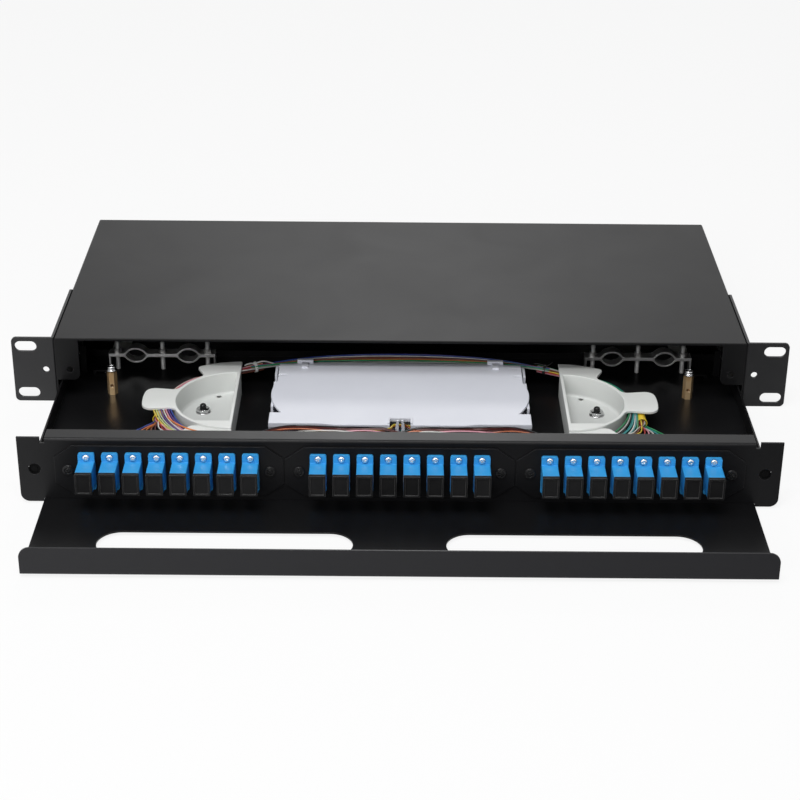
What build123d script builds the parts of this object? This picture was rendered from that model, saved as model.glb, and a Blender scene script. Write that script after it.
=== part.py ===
from build123d import *
from math import cos, hypot, radians, sin, tan
import os

# Sliding fibre patch drawer, one rack unit high, drawer pulled out.
# Millimetres. X to the right, Y into the rack, Z up.
# Origin: centre of the rack ears' front face. Drawer places are given as depths behind its front panel.

# Rack fit
rack_width = 482.6
rack_slot_edge = 8.75
rack_slot_pitch_z = 31.75
rack_slot_length = 13.5
rack_slot_width = 6.8
ear_width = 26.3
ear_height = 43.6
ear_sheet = 1.5
ear_reach = 80.0
ear_corner = 3.0
ear_heel = 6.0
ear_pilot_hole = 4.0
ear_pilot_offset = 5.9
ear_screw_inset = 18.0
ear_screw_z = 11.0

# Housing of folded sheet
housing_depth = 200.0
housing_height = 43.3
sheet = 1.0
bend_inside = 0.4
lip_drop = 1.6
front_edge_round = 0.6
jamb_width = 15.0
jamb_corner = 4.0
lock_hole_inset = 9.0
jamb_hole = 4.0
base_flange = 9.0
rear_flange = 9.0
flange_end_gap = 2.0
case_screw_margin = 15.0
case_screw_inset = 13.0

# Cable entries in the rear wall, in line with the clamp's eyes
entry_hole = 17.0
entry_bore = 12.0
grommet_rim = 2.5
grommet_lip = 2.0

# Runners
glide_thickness = 0.5
glide_width = 12.0
glide_inset = 27.2
run_gap = 0.3
slide_gap = 0.8
guide_gap = 0.4
guide_leg = 7.0
guide_rise = 12.0
pass_gap = 0.4
stop_gap = 1.0

# Drawer tray with its front shelf
pull_out = 128.0
outward_spare = 35.0
tray_depth = 190.0
tray_wall_height = 11.5
tray_rear_rise = 4.0
jamb_over_wall = 1.5
shelf_step = 10.6
shelf_depth = 80.0
shelf_lip = 16.6
shelf_lip_corner = 6.0
shelf_web = 51.0
shelf_slot_end = 36.1
shelf_slot_width = 26.0
shelf_slot_depth = 48.5
stop_tab_width = 4.0
stop_tab_overlap = 6.0
tie_bridge_x_inset = 19.0
tie_bridge_depth = 164.0
tie_bridge_length = 9.0
tie_bridge_width = 3.0
tie_bridge_rise = 1.0
tie_bridge_foot = 1.5

# Front panel
panel_sheet = 1.2
panel_ear_height = 41.0
panel_ear_lift = 0.9
panel_ear_corner = 5.0
panel_ear_hole = 7.0
panel_return = 11.0
panel_foot = 12.0
panel_relief = 2.6
panel_relief_depth = 3.0
ear_gap = 0.4
panel_rivet_inset = 24.4
panel_margin = 8.8

# Adapter plates
plate_gap = 1.0
plate_height = 31.0
plate_sheet = 1.0
plate_cut_x = 10.5
plate_cut_z = 7.5
port_z = 0.0
window_edge = 11.0
window_height = 22.0
push_rivet_inset = 7.7
push_rivet_head = 3.3
push_rivet_shank = 1.9

# Adapters, caps and pigtail plugs
port_pitch = 13.15
adapter_width = 9.3
adapter_height = 13.0
adapter_corner = 0.5
adapter_front = 14.6
adapter_rear = 13.0
adapter_flange = 23.0
adapter_flange_corner = 1.2
adapter_flange_thickness = 2.0
adapter_screw_z = 9.0
adapter_seat = 2.5
adapter_seat_depth = 0.5
socket_width = 7.4
socket_height = 9.2
socket_depth = 8.0
fit_gap = 0.1
cap_front = 2.4
cap_rim = 1.0
cap_recess = 0.7
plug_width = 8.6
plug_height = 7.4
plug_length = 14.0
boot_length = 14.0
boot_root = 2.6
boot_tip = 1.3

# Small fasteners
m2_shank = 1.0
m2_head = 1.9
m2_head_height = 1.3
m3_shank = 1.5
m3_head = 2.8
m3_head_height = 1.6
m4_shank = 2.0
m4_head = 3.6
m4_head_height = 1.9
rivet_shank = 1.6
rivet_head = 3.0
rivet_head_height = 0.8
nut_thickness = 2.4
hole_gap = 0.05

# Spools
spool_gap = 21.5
spool_depth = 96.0
spool_radius = 38.5
spool_wall = 2.0
spool_floor = 1.5
spool_floor_round = 2.0
spool_rim_round = 0.5
spool_height = 16.0
spool_tab_thickness = 1.6
spool_tab_neck = 18.6
spool_tab_width = 29.0
spool_tab_reach = 18.5
spool_end_tab_neck = 16.0
spool_end_tab_width = 31.5
spool_front_tab_width = 37.0
spool_front_web = 29.0
spool_end_tab_reach = 13.5
spool_tab_corner = 6.0
spool_end_tab_corner = 2.5
spool_neck_round = 5.0
spool_stud_offset = (21.5, 10.0)
spool_stud_height = 7.0
spool_stud_round = 1.2
spool_nut_across = 8.0
spool_hole_offset = (13.5, 31.0)
spool_hole = 3.2

# Splice tray
splice_width = 157.0
splice_front = 65.1
splice_rear = 144.5
splice_height = 14.8
splice_wall = 1.5
splice_floor = 1.2
splice_entry = 9.0
splice_sill = 4.0
splice_cheek = 9.0
splice_guide_radius = 21.0
splice_guide_x = 48.0
splice_guide_height = 9.0
splice_screw_x = 60.0
comb_length = 40.0
comb_height = 8.0
comb_slots = 12
comb_pitch = 3.0
comb_slot_width = 2.7
comb_slot_depth = 6.4
sleeve_radius = 1.25
sleeve_length = 45.0

# Splice tray cover
cover_thickness = 1.4
cover_edge_round = 0.5
cover_gap = 0.2
cover_front_strip = 14.0
cover_overhang = 1.6
cover_skirt = 1.2
cover_skirt_drop = 1.6
cover_brow = 1.6
cover_brow_half = 39.0
cover_brow_run = 7.5
cover_bulge = 0.5
cover_side_step = 2.8
cover_bulge_start = 24.3
cover_bulge_middle = 43.5
cover_waist = 7.0
cover_bow = 2.5
cover_slit = 1.2
cover_slit_length = 5.0
cover_slit_back = 15.7
hinge_x = 60.0
hinge_behind = 3.0
hinge_drop = 2.7
hinge_pin = 1.2
hinge_gap = 0.1
hinge_ring = 1.3
hinge_ring_width = 4.0
hinge_cheek = 1.4
hinge_cheek_gap = 0.3
hinge_clip_half = 5.0
hinge_clip_rise = 2.2
hinge_clip_thickness = 2.4
hinge_tongue_half = 2.0
hinge_tongue_reach = 7.0
hinge_tongue_rise = 1.2
latch_notch_half = 6.2
latch_notch_depth = 7.0
latch_frame = 1.2
latch_frame_rise = 0.8
latch_prong_gap = 0.8
latch_prong_root = 1.2
latch_prong_bulge = 2.0
latch_prong_rise = 1.0

# Cable clamps
clamp_inset = 58.9
clamp_depth = 170.0
clamp_length = 68.4
clamp_width = 8.0
clamp_sheet = 1.0
clamp_lift = 11.0
eye_offset = 16.9
eye_half_width = 6.6
eye_half_height = 4.2
eye_root_round = 3.0
clamp_stud_spread = 29.0
clamp_stud_length = 19.5
clamp_nut_across = 4.6

# Strength-member posts
post_inset = 31.2
post_depth = 133.6
post_across = 5.5
post_height = 16.2
post_cross_hole = 2.2
post_cross_lift = 6.5
post_thread_depth = 6.0
washer_radius = 3.5
washer_step = 0.4
washer_thickness = 0.8

# Fibre runs
bundle_radius = 2.2
bundle_gap = 5.0
fibre_radius = 0.45
trunk_depth = 46.0
bundle_drop = 8.5
bundle_fall_start = 57.0
bundle_fall_end = 70.0
bundle_wrap = 65.0
bundle_tail = 30.0
rear_bow_points = ((55.0, 157.4, -6.0), (20.0, 159.6, -4.4))
fan_out_sleeve_wall = 0.7
fan_out_sleeve_from = 79.0
fan_out_sleeve_length = 14.0
tie_band = 0.8
tie_band_width = 1.8
tie_head = 2.8
tie_tail = 7.0

# Levels and places worked out from the sizes above
housing_half = rack_width / 2 - ear_width
wall_inside = housing_half - sheet
housing_bottom = -ear_height / 2
housing_top = housing_bottom + housing_height
ceiling = housing_top - sheet
lip_bottom = housing_top - lip_drop
base_top = housing_bottom + sheet
tray_bottom = base_top + glide_thickness + run_gap
tray_floor = tray_bottom + sheet
tray_half = wall_inside - sheet - slide_gap
tray_wall_top = tray_bottom + tray_wall_height
jamb_foot = tray_wall_top + jamb_over_wall
jamb_inside = housing_half - jamb_width
lock_hole_x = housing_half - lock_hole_inset
flange_rear = housing_depth - sheet - rear_flange - flange_end_gap
guide_bottom = tray_wall_top + guide_gap
glide_x = tray_half - glide_inset
shelf_half = tray_half - shelf_step
shelf_slot_length = shelf_half - shelf_web / 2 - shelf_slot_end
shelf_slot_x = (shelf_web + shelf_slot_length) / 2
panel_top = lip_bottom - pass_gap
panel_ear_bottom = housing_bottom + panel_ear_lift
panel_ear_top = panel_ear_bottom + panel_ear_height
panel_ear_inside = shelf_half + ear_gap
panel_body_half = panel_ear_inside - panel_relief
tray_start = panel_sheet + slide_gap
tray_middle = (splice_front + splice_rear) / 2
splice_half = splice_width / 2
splice_sill_top = tray_floor + splice_sill
spool_x = splice_half + spool_gap
clamp_x = tray_half - clamp_inset
post_x = tray_half - post_inset
splice_top = tray_floor + splice_height
cover_bottom = splice_top + cover_gap
cover_top = cover_bottom + cover_thickness
hinge_depth = splice_rear + hinge_behind
hinge_z = cover_bottom + cover_thickness / 2 - hinge_drop
spool_top = tray_floor + spool_height
clamp_z = tray_floor + clamp_lift
post_top = tray_floor + post_height
stop_tab_depth = pull_out + sheet + stop_gap + outward_spare
bundle_reach = spool_radius + bundle_gap + bundle_radius
bundle_x = spool_x + bundle_reach
bundle_z = port_z - bundle_drop
plate_names = ("left", "centre", "right")
plate_pitch = (2 * panel_body_half - panel_margin) / len(plate_names)
plate_centres = (-plate_pitch, 0.0, plate_pitch)
plate_width = plate_pitch - plate_gap
window_width = plate_width - 2 * window_edge
push_rivet_x = plate_width / 2 - push_rivet_inset
panel_rivet_x = (plate_pitch / 2, panel_body_half - panel_rivet_inset)
port_count = int(window_width // port_pitch)
port_offsets = [(i - (port_count - 1) / 2) * port_pitch for i in range(port_count)]


def at(depth):
    """The Y of a depth behind the drawer's front panel, with the drawer pulled out."""
    return depth - pull_out


def block(x, y, z):
    """A box between a low and a high value along each axis."""
    size = [high - low for low, high in (x, y, z)]
    centre = [(high + low) / 2 for low, high in (x, y, z)]
    return Pos(*centre) * Box(*size)


def rod_x(radius, y, z, low, high):
    """A round bar along X."""
    bar = Cylinder(radius, high - low, align=(Align.CENTER, Align.CENTER, Align.MIN))
    return Pos(low, y, z) * Rot(0, 90, 0) * bar


def rod_y(radius, x, z, low, high):
    """A round bar along Y."""
    bar = Cylinder(radius, high - low, align=(Align.CENTER, Align.CENTER, Align.MIN))
    return Pos(x, low, z) * Rot(-90, 0, 0) * bar


def rod_z(radius, x, y, low, high):
    """A round bar along Z."""
    bar = Cylinder(radius, high - low, align=(Align.CENTER, Align.CENTER, Align.MIN))
    return Pos(x, y, low) * bar


def front_sheet(outline, y, thickness):
    """A sheet cut to an outline seen from the front, from y backwards."""
    return extrude(Plane.XZ.offset(-y) * outline, amount=-thickness)


def flat_sheet(outline, z, thickness):
    """A sheet cut to an outline seen from above, from z upwards."""
    return extrude(Plane.XY.offset(z) * outline, amount=thickness)


def mirrored(part):
    """The same piece on the other side of the middle."""
    return mirror(part, about=Plane.YZ)


def both_sides(parts):
    """Pieces of the right side with their mirrored twins."""
    return [*parts, *[mirrored(part) for part in parts]]


def group(parts):
    """Separate solids kept together in one node."""
    return Compound([solid for part in parts for solid in part.solids()])


def edges_at(part, axis, x=None, y=None, z=None):
    """Straight edges along an axis, found by the place of their middle, X on either side."""
    near = 0.01
    found = part.edges().filter_by(axis)
    if x is not None:
        found = found.filter_by(lambda edge: abs(abs(edge.center().X) - x) < near)
    if y is not None:
        found = found.filter_by(lambda edge: abs(edge.center().Y - y) < near)
    if z is not None:
        found = found.filter_by(lambda edge: abs(edge.center().Z - z) < near)
    return found


def hexagon(across):
    """A hexagon by its width across flats."""
    return RegularPolygon(across / 2, 6, major_radius=False)


# Housing

def case_screw_rows():
    """Y of the screws and rivets along the housing's side, behind the rack ear."""
    first, last = ear_reach + case_screw_margin, flange_rear - case_screw_inset
    return [first, (first + last) / 2, last]


def side_screw_places():
    """Y and Z of the screws that hold the base's flange to the side wall."""
    return [(y, base_top + base_flange / 2) for y in case_screw_rows()]


def rear_screw_places():
    """Y and Z of the screws that hold the rear wall's flange to the side wall."""
    y = housing_depth - sheet - rear_flange / 2
    return [(y, ceiling / 2), (y, base_top / 2)]


def ear_screw_places():
    """Y and Z of the screws that hold a rack ear to the side wall."""
    front, back = ear_screw_inset, ear_reach - ear_screw_inset
    return [(front, ear_screw_z), (front, -ear_screw_z), (back, 0.0)]


def side_holes(places, radius):
    """Round cutters through both side walls and what lies on them."""
    span = housing_half + ear_sheet
    return [rod_x(radius + hole_gap, y, z, -span, span) for y, z in places]


def make_top_cover():
    """The top and both sides, folded from one sheet, with the front lip and jambs."""
    shell = block((-housing_half, housing_half), (0, housing_depth), (housing_bottom, housing_top))
    shell -= block((-wall_inside, wall_inside), (0, housing_depth), (housing_bottom, ceiling))
    shell = fillet(edges_at(shell, Axis.Y, x=housing_half, z=housing_top), bend_inside + sheet)
    shell = fillet(edges_at(shell, Axis.Y, x=wall_inside, z=ceiling), bend_inside)
    jamb = block((jamb_inside, wall_inside), (0, sheet), (jamb_foot, ceiling))
    jamb = fillet(edges_at(jamb, Axis.Y, x=jamb_inside, z=jamb_foot), jamb_corner)
    lip = block((-jamb_inside, jamb_inside), (0, sheet), (lip_bottom, ceiling))
    shell = shell + both_sides([jamb]) + lip
    shell = fillet(edges_at(shell, Axis.X, y=0, z=housing_top), front_edge_round)
    shell -= both_sides([rod_y(jamb_hole / 2, lock_hole_x, 0, 0, sheet)])
    shell -= side_holes(side_screw_places() + rear_screw_places(), m3_shank)
    shell -= side_holes(ear_screw_places(), m4_shank)
    return shell - side_holes(guide_rivet_places(), rivet_shank)


def make_base_plate():
    """The bottom with a flange turned up along each side."""
    front = flange_end_gap
    plate = block((-wall_inside, wall_inside), (0, housing_depth), (housing_bottom, base_top))
    flange = block((wall_inside - sheet, wall_inside), (front, flange_rear), (base_top, base_top + base_flange))
    plate = plate + both_sides([flange])
    return plate - side_holes(side_screw_places(), m3_shank)


def entry_places():
    """X of the cable entries."""
    right = [clamp_x - eye_offset, clamp_x + eye_offset]
    return [-x for x in reversed(right)] + right


def make_rear_panel():
    """The rear wall with round cable entries and a flange turned forward at each end."""
    rear = housing_depth
    panel = block((-wall_inside, wall_inside), (rear - sheet, rear), (base_top, ceiling))
    flange = block((wall_inside - sheet, wall_inside), (rear - sheet - rear_flange, rear - sheet),
                   (base_top, ceiling - bend_inside))
    panel = panel + both_sides([flange])
    panel = fillet(edges_at(panel, Axis.Y, x=wall_inside, z=ceiling), bend_inside)
    panel -= side_holes(rear_screw_places(), m3_shank)
    return panel - [rod_y(entry_hole / 2, x, clamp_z, rear - sheet, rear) for x in entry_places()]


def make_grommets():
    """Rubber rings that line the cable entries."""
    hole_r = entry_hole / 2 - hole_gap
    rear = housing_depth
    ring = rod_y(hole_r, 0, clamp_z, rear - sheet, rear)
    ring += rod_y(hole_r + grommet_rim, 0, clamp_z, rear, rear + grommet_lip)
    ring += rod_y(hole_r + grommet_rim, 0, clamp_z, rear - sheet - grommet_lip, rear - sheet)
    ring -= rod_y(entry_bore / 2, 0, clamp_z, rear - sheet - grommet_lip, rear + grommet_lip)
    return group([Pos(x, 0, 0) * ring for x in entry_places()])


def make_rack_ear():
    """The right rack ear: a front plate with slots, and a flange along the housing's side."""
    half = ear_height / 2
    outer = rack_width / 2
    plate = block((housing_half, outer), (0, ear_sheet), (-half, half))
    plate = fillet(edges_at(plate, Axis.Y, x=outer), ear_corner)
    flange = block((housing_half, housing_half + ear_sheet), (0, ear_reach), (-half, half))
    flange = fillet(edges_at(flange, Axis.X, y=ear_reach), ear_heel)
    ear = plate + flange
    ear = fillet(edges_at(ear, Axis.Z, x=housing_half, y=0), ear_sheet / 2)
    slot = SlotOverall(rack_slot_length, rack_slot_width)
    slot_z = rack_slot_pitch_z / 2
    slot_x = outer - rack_slot_edge
    ear -= [front_sheet(Pos(slot_x, z) * slot, 0, ear_sheet) for z in (-slot_z, slot_z)]
    ear -= rod_y(ear_pilot_hole / 2, housing_half + ear_pilot_offset, 0, 0, ear_sheet)
    return ear - side_holes(ear_screw_places(), m4_shank)


def side_screw(y, z, seat, end, shank, head, head_height):
    """A screw that goes in from the right, its head on the seat."""
    return rod_x(shank, y, z, end, seat) + rod_x(head, y, z, seat, seat + head_height)


def make_ear_screws():
    """Screws that hold the rack ears."""
    seat = housing_half + ear_sheet
    places = ear_screw_places()
    screws = [side_screw(y, z, seat, wall_inside, m4_shank, m4_head, m4_head_height) for y, z in places]
    return group(both_sides(screws))


def make_case_screws():
    """Screws that hold the base and the rear wall to the sides."""
    places = side_screw_places() + rear_screw_places()
    end = wall_inside - sheet
    screws = [side_screw(y, z, housing_half, end, m3_shank, m3_head, m3_head_height) for y, z in places]
    return group(both_sides(screws))


def guide_rivet_places():
    """Y and Z of the rivets that hold a guide rail."""
    z = guide_bottom + sheet + (guide_rise - sheet) / 2
    return [(y, z) for y in case_screw_rows()]


def make_guide_rail():
    """The right angle rail that keeps the tray's wall down while it slides."""
    front = sheet + flange_end_gap
    leg = block((wall_inside - guide_leg, wall_inside), (front, flange_rear), (guide_bottom, guide_bottom + sheet))
    rise = block((wall_inside - sheet, wall_inside), (front, flange_rear), (guide_bottom, guide_bottom + guide_rise))
    rail = leg + rise
    rail = fillet(edges_at(rail, Axis.Y, x=wall_inside, z=guide_bottom), bend_inside)
    return rail - side_holes(guide_rivet_places(), rivet_shank)


def make_rail_rivets():
    """Rivets through the side walls and the guide rails."""
    inside = wall_inside - sheet
    rivets = []
    for y, z in guide_rivet_places():
        rivet = side_screw(y, z, housing_half, inside, rivet_shank, rivet_head, rivet_head_height)
        rivets.append(rivet + rod_x(rivet_head, y, z, inside - rivet_head_height, inside))
    return group(both_sides(rivets))


def make_glide_strips():
    """Slippery strips on the base that the tray runs on."""
    x = (glide_x - glide_width / 2, glide_x + glide_width / 2)
    y = (flange_end_gap, housing_depth - sheet - flange_end_gap)
    return group(both_sides([block(x, y, (base_top, base_top + glide_thickness))]))


# Drawer sheet metal

def make_drawer_tray():
    """The tray's floor, low walls, stop tabs and the front shelf with its turned-up lip."""
    shelf = block((-shelf_half, shelf_half), (at(-shelf_depth), at(tray_start)), (tray_bottom, tray_floor))
    floor = block((-tray_half, tray_half), (at(tray_start), at(tray_depth)), (tray_bottom, tray_floor))
    lip = block((-shelf_half, shelf_half), (at(-shelf_depth), at(-shelf_depth) + sheet),
                (tray_bottom, tray_bottom + shelf_lip))
    lip = fillet(edges_at(lip, Axis.Y, x=shelf_half, z=tray_bottom + shelf_lip), shelf_lip_corner)
    wall = block((tray_half - sheet, tray_half), (at(tray_start), at(tray_depth)), (tray_bottom, tray_wall_top))
    rear = block((-tray_half, tray_half), (at(tray_depth) - sheet, at(tray_depth)),
                 (tray_bottom, tray_floor + tray_rear_rise))
    tab_outer = wall_inside - guide_leg - stop_gap
    tab = block((tab_outer - stop_tab_width, tab_outer), (at(stop_tab_depth), at(stop_tab_depth) + sheet),
                (tray_floor, jamb_foot + stop_tab_overlap))
    tray = shelf + floor + lip + both_sides([wall, tab, tie_bridge()]) + rear
    tray = fillet(edges_at(tray, Axis.X, y=at(-shelf_depth), z=tray_bottom), bend_inside + sheet)
    tray = fillet(edges_at(tray, Axis.X, y=at(-shelf_depth) + sheet, z=tray_floor), bend_inside)
    tray = fillet(edges_at(tray, Axis.Y, x=tray_half, z=tray_bottom), bend_inside + sheet)
    slot = SlotOverall(shelf_slot_length, shelf_slot_width)
    slot = flat_sheet(Pos(shelf_slot_x, at(-shelf_slot_depth)) * slot, tray_bottom, sheet)
    tray -= both_sides([slot])
    tray -= both_sides([tie_bridge_tunnel()])
    for radius, x, y in floor_fixings():
        tray -= rod_z(radius + hole_gap, x, y, tray_bottom, tray_floor)
    return tray


def tie_bridge():
    """The right bridge for a cable tie, pressed up from the tray's floor beside the clamp."""
    x, y = tray_half - tie_bridge_x_inset, at(tie_bridge_depth)
    half = tie_bridge_length / 2
    top = tray_floor + tie_bridge_rise + sheet
    return block((x - half, x + half), (y - tie_bridge_width / 2, y + tie_bridge_width / 2), (tray_floor, top))


def tie_bridge_tunnel():
    """What is open below the right tie bridge."""
    x, y = tray_half - tie_bridge_x_inset, at(tie_bridge_depth)
    half = tie_bridge_length / 2 - tie_bridge_foot
    return block((x - half, x + half), (y - tie_bridge_width / 2, y + tie_bridge_width / 2),
                 (tray_bottom, tray_floor + tie_bridge_rise))


def floor_fixings():
    """Shank radius, X and Y of everything that is fixed through the tray's floor."""
    right = [(m4_shank, spool_x + spool_stud_offset[0], at(spool_depth + spool_stud_offset[1]))]
    right += [(m3_shank, post_x, at(post_depth)), (m3_shank, splice_screw_x, at(tray_middle))]
    right += [(m3_shank, x, at(clamp_depth)) for x in clamp_stud_places()]
    right += [(rivet_shank, x, at(panel_rivet_depth())) for x in panel_rivet_x]
    return right + [(radius, -x, y) for radius, x, y in right]


def panel_rivet_depth():
    """Depth of the rivets in the panel's foot."""
    return (panel_sheet + panel_foot) / 2


def make_front_panel():
    """The front panel with its two ears, three windows, top return and foot."""
    height = panel_ear_top - panel_ear_bottom
    centre_z = (panel_ear_top + panel_ear_bottom) / 2
    face = front_sheet(Pos(0, centre_z) * Rectangle(2 * housing_half, height), at(0), panel_sheet)
    face = fillet(edges_at(face, Axis.Y, x=housing_half, z=panel_ear_bottom), panel_ear_corner)
    middle = (-panel_ear_inside, panel_ear_inside)
    through = (at(0), at(panel_sheet))
    face -= block(middle, through, (panel_top, panel_ear_top))
    face -= block(middle, through, (panel_ear_bottom, tray_floor))
    relief = block((panel_body_half, panel_ear_inside), through, (panel_top - panel_relief_depth, panel_top))
    face -= both_sides([relief])
    body = (-panel_body_half, panel_body_half)
    face += block(body, (at(0), at(panel_return)), (panel_top - panel_sheet, panel_top))
    face += block(body, (at(0), at(panel_foot)), (tray_floor, tray_floor + panel_sheet))
    face = fillet(edges_at(face, Axis.X, y=at(0), z=panel_top), bend_inside + panel_sheet)
    window = Rectangle(window_width, window_height)
    face -= [front_sheet(Pos(x, port_z) * window, at(0), panel_sheet) for x in plate_centres]
    face -= both_sides([rod_y(panel_ear_hole / 2, lock_hole_x, 0, *through)])
    radius = push_rivet_shank + hole_gap
    face -= [rod_y(radius, x, port_z, *through) for x in push_rivet_places()]
    foot = (tray_floor, tray_floor + panel_sheet)
    holes = [rod_z(rivet_shank + hole_gap, x, at(panel_rivet_depth()), *foot) for x in panel_rivet_x]
    return face - both_sides(holes)


def make_panel_rivets():
    """Rivets through the panel's foot and the tray, flush below."""
    seat = tray_floor + panel_sheet
    y = at(panel_rivet_depth())
    rivets = []
    for x in panel_rivet_x:
        shank = rod_z(rivet_shank, x, y, tray_bottom, seat)
        rivets.append(shank + rod_z(rivet_head, x, y, seat, seat + rivet_head_height))
    return group(both_sides(rivets))


def push_rivet_places():
    """X of the push rivets of all the adapter plates."""
    return [centre + side * push_rivet_x for centre in plate_centres for side in (-1, 1)]


def plate_outline():
    """The adapter plate's outline with its four corners cut off."""
    half_x, half_z = plate_width / 2, plate_height / 2
    corner = [(half_x, half_z - plate_cut_z), (half_x - plate_cut_x, half_z)]
    upper = corner + [(-x, z) for x, z in reversed(corner)]
    return Polygon(*upper, *[(-x, -z) for x, z in upper], align=None)


def make_adapter_plate(centre):
    """An adapter plate with a cut-out and two screw holes for each adapter."""
    outline = plate_outline()
    cut_out = Rectangle(adapter_width + 2 * fit_gap, adapter_height + 2 * fit_gap)
    for x in port_offsets:
        outline -= Pos(x, 0) * cut_out
        outline -= [Pos(x, z) * Circle(m2_shank + hole_gap) for z in (-adapter_screw_z, adapter_screw_z)]
    outline -= [Pos(x, 0) * Circle(push_rivet_shank + hole_gap) for x in (-push_rivet_x, push_rivet_x)]
    return front_sheet(Pos(centre, port_z) * outline, at(-plate_sheet), plate_sheet)


def make_push_rivets():
    """Push rivets that hold the adapter plates, with a spread tip behind the panel."""
    seat, back = at(-plate_sheet), at(panel_sheet)
    rivets = []
    for x in push_rivet_places():
        rivet = rod_y(push_rivet_head, x, port_z, seat - m2_head_height, seat)
        rivet += rod_y(push_rivet_shank, x, port_z, seat, back)
        rivets.append(rivet + rod_y(push_rivet_shank + fit_gap, x, port_z, back, back + m3_head))
    return group(rivets)


# Adapters and what plugs into them

def at_ports(centre, part):
    """One copy of a piece at each port of a plate."""
    return group([Pos(centre + x, 0, port_z) * part for x in port_offsets])


def across(width):
    """A span of the given width about zero."""
    return (-width / 2, width / 2)


adapter_mouth = -plate_sheet - adapter_front


def adapter_block(height, y, corner):
    """A block of the adapter's width along Y, its long edges rounded."""
    return front_sheet(RectangleRounded(adapter_width, height, corner), y[0], y[1] - y[0])


def make_adapter():
    """One adapter: a square sleeve with a flange, sunk screw seats and a socket at each end."""
    body = adapter_block(adapter_height, (at(adapter_mouth), at(adapter_rear)), adapter_corner)
    seat = at(-plate_sheet)
    face = seat - adapter_flange_thickness
    body += adapter_block(adapter_flange, (face, seat), adapter_flange_corner)
    front = (at(adapter_mouth), at(adapter_mouth + socket_depth))
    rear = (at(adapter_rear - socket_depth), at(adapter_rear))
    for ends in (front, rear):
        body -= block(across(socket_width), ends, across(socket_height))
    for z in (-adapter_screw_z, adapter_screw_z):
        body -= rod_y(m2_shank + hole_gap, 0, z, face, seat)
        body -= rod_y(adapter_seat, 0, z, face, face + adapter_seat_depth) - adapter_sleeve()
    return body


def adapter_sleeve():
    """The adapter's sleeve without its flange, which the screw seats leave whole."""
    return adapter_block(adapter_height, (at(adapter_mouth), at(adapter_rear)), adapter_corner)


def stem(y):
    """What fits in a socket, with its clearance."""
    gap = 2 * fit_gap
    return block(across(socket_width - gap), y, across(socket_height - gap))


def make_dust_cap():
    """A dust cap with a raised rim round its front and a stem in the socket."""
    front = at(adapter_mouth - cap_front)
    cap = adapter_block(adapter_height, (front, at(adapter_mouth)), adapter_corner)
    cap -= block(across(adapter_width - 2 * cap_rim), (front, front + cap_recess),
                 across(adapter_height - 2 * cap_rim))
    return cap + stem((at(adapter_mouth), at(adapter_mouth + socket_depth) - fit_gap))


def make_adapter_screws():
    """The two screws of an adapter."""
    seat = at(-plate_sheet - adapter_flange_thickness) + adapter_seat_depth
    screws = []
    for z in (-adapter_screw_z, adapter_screw_z):
        head = rod_y(m2_head, 0, z, seat - m2_head_height, seat)
        screws.append(head + rod_y(m2_shank, 0, z, seat, at(panel_sheet)))
    return group(screws)


plug_end = adapter_rear + plug_length
boot_end = plug_end + boot_length


def make_pigtail_plug():
    """A pigtail's plug: stem, square grip and tapered boot."""
    plug = stem((at(adapter_rear - socket_depth) + fit_gap, at(adapter_rear)))
    plug += block(across(plug_width), (at(adapter_rear), at(plug_end)), across(plug_height))
    cone = Cone(boot_root, boot_tip, boot_length, align=(Align.CENTER, Align.CENTER, Align.MIN))
    return plug + Pos(0, at(plug_end), 0) * Rot(-90, 0, 0) * cone


# Spools

def corners_at(outline, radius):
    """Corners of an outline at a distance from the spool's centre, away from its straight wall."""
    near = 0.01
    away = outline.vertices().filter_by(lambda corner: corner.X > spool_wall)
    return away.filter_by(lambda corner: abs(hypot(corner.X, corner.Y) - radius) < near)


def spool_tabs(outside):
    """The spool's rim seen from above, with three tabs that widen from within it to round outer ends."""
    root = spool_radius / 2
    reach, end_reach = spool_radius + spool_tab_reach, spool_radius + spool_end_tab_reach
    neck, width = spool_tab_neck / 2, spool_tab_width / 2
    side = Polygon((root, -neck), (reach, -width), (reach, width), (root, neck), align=None) & Circle(reach)
    side = fillet(corners_at(side, reach), spool_tab_corner)
    rim = outside + side
    for way, tab_width in ((-1, spool_front_tab_width), (1, spool_end_tab_width)):
        end = Polygon((0, way * root), (spool_end_tab_neck, way * root), (tab_width, way * end_reach),
                      (0, way * end_reach), align=None) & Circle(end_reach)
        rim += fillet(corners_at(end, end_reach), spool_end_tab_corner)
    return fillet(corners_at(rim, spool_radius), spool_neck_round)


def make_spool():
    """The right spool: a half-round tub with three holding tabs round its rim."""
    half_plane = Rectangle(2 * spool_radius, 4 * spool_radius, align=(Align.MIN, Align.CENTER))
    bore = spool_radius - spool_wall
    outside = Circle(spool_radius) & half_plane
    behind_web = Pos(0, -spool_front_web) * Rectangle(4 * spool_radius, 4 * spool_radius, align=(Align.CENTER, Align.MIN))
    inside = Circle(bore) & (Pos(spool_wall, 0) * half_plane) & behind_web
    tub = flat_sheet(outside, tray_floor, spool_height)
    tub += flat_sheet(spool_tabs(outside), spool_top - spool_tab_thickness, spool_tab_thickness)
    hollow = flat_sheet(inside, tray_floor + spool_floor, spool_height)
    tub -= fillet(hollow.faces().sort_by(Axis.Z)[0].edges(), spool_floor_round)
    tub = fillet(tub.faces().sort_by(Axis.Z)[-1].edges(), spool_rim_round)
    for (x, y), radius in ((spool_stud_offset, m4_shank), (spool_hole_offset, spool_hole / 2)):
        tub -= rod_z(radius + hole_gap, x, y, tray_floor, tray_floor + spool_floor)
    return Pos(spool_x, at(spool_depth), 0) * tub


def spool_stud_place():
    """X and Y of the right spool's stud."""
    return spool_x + spool_stud_offset[0], at(spool_depth + spool_stud_offset[1])


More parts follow.
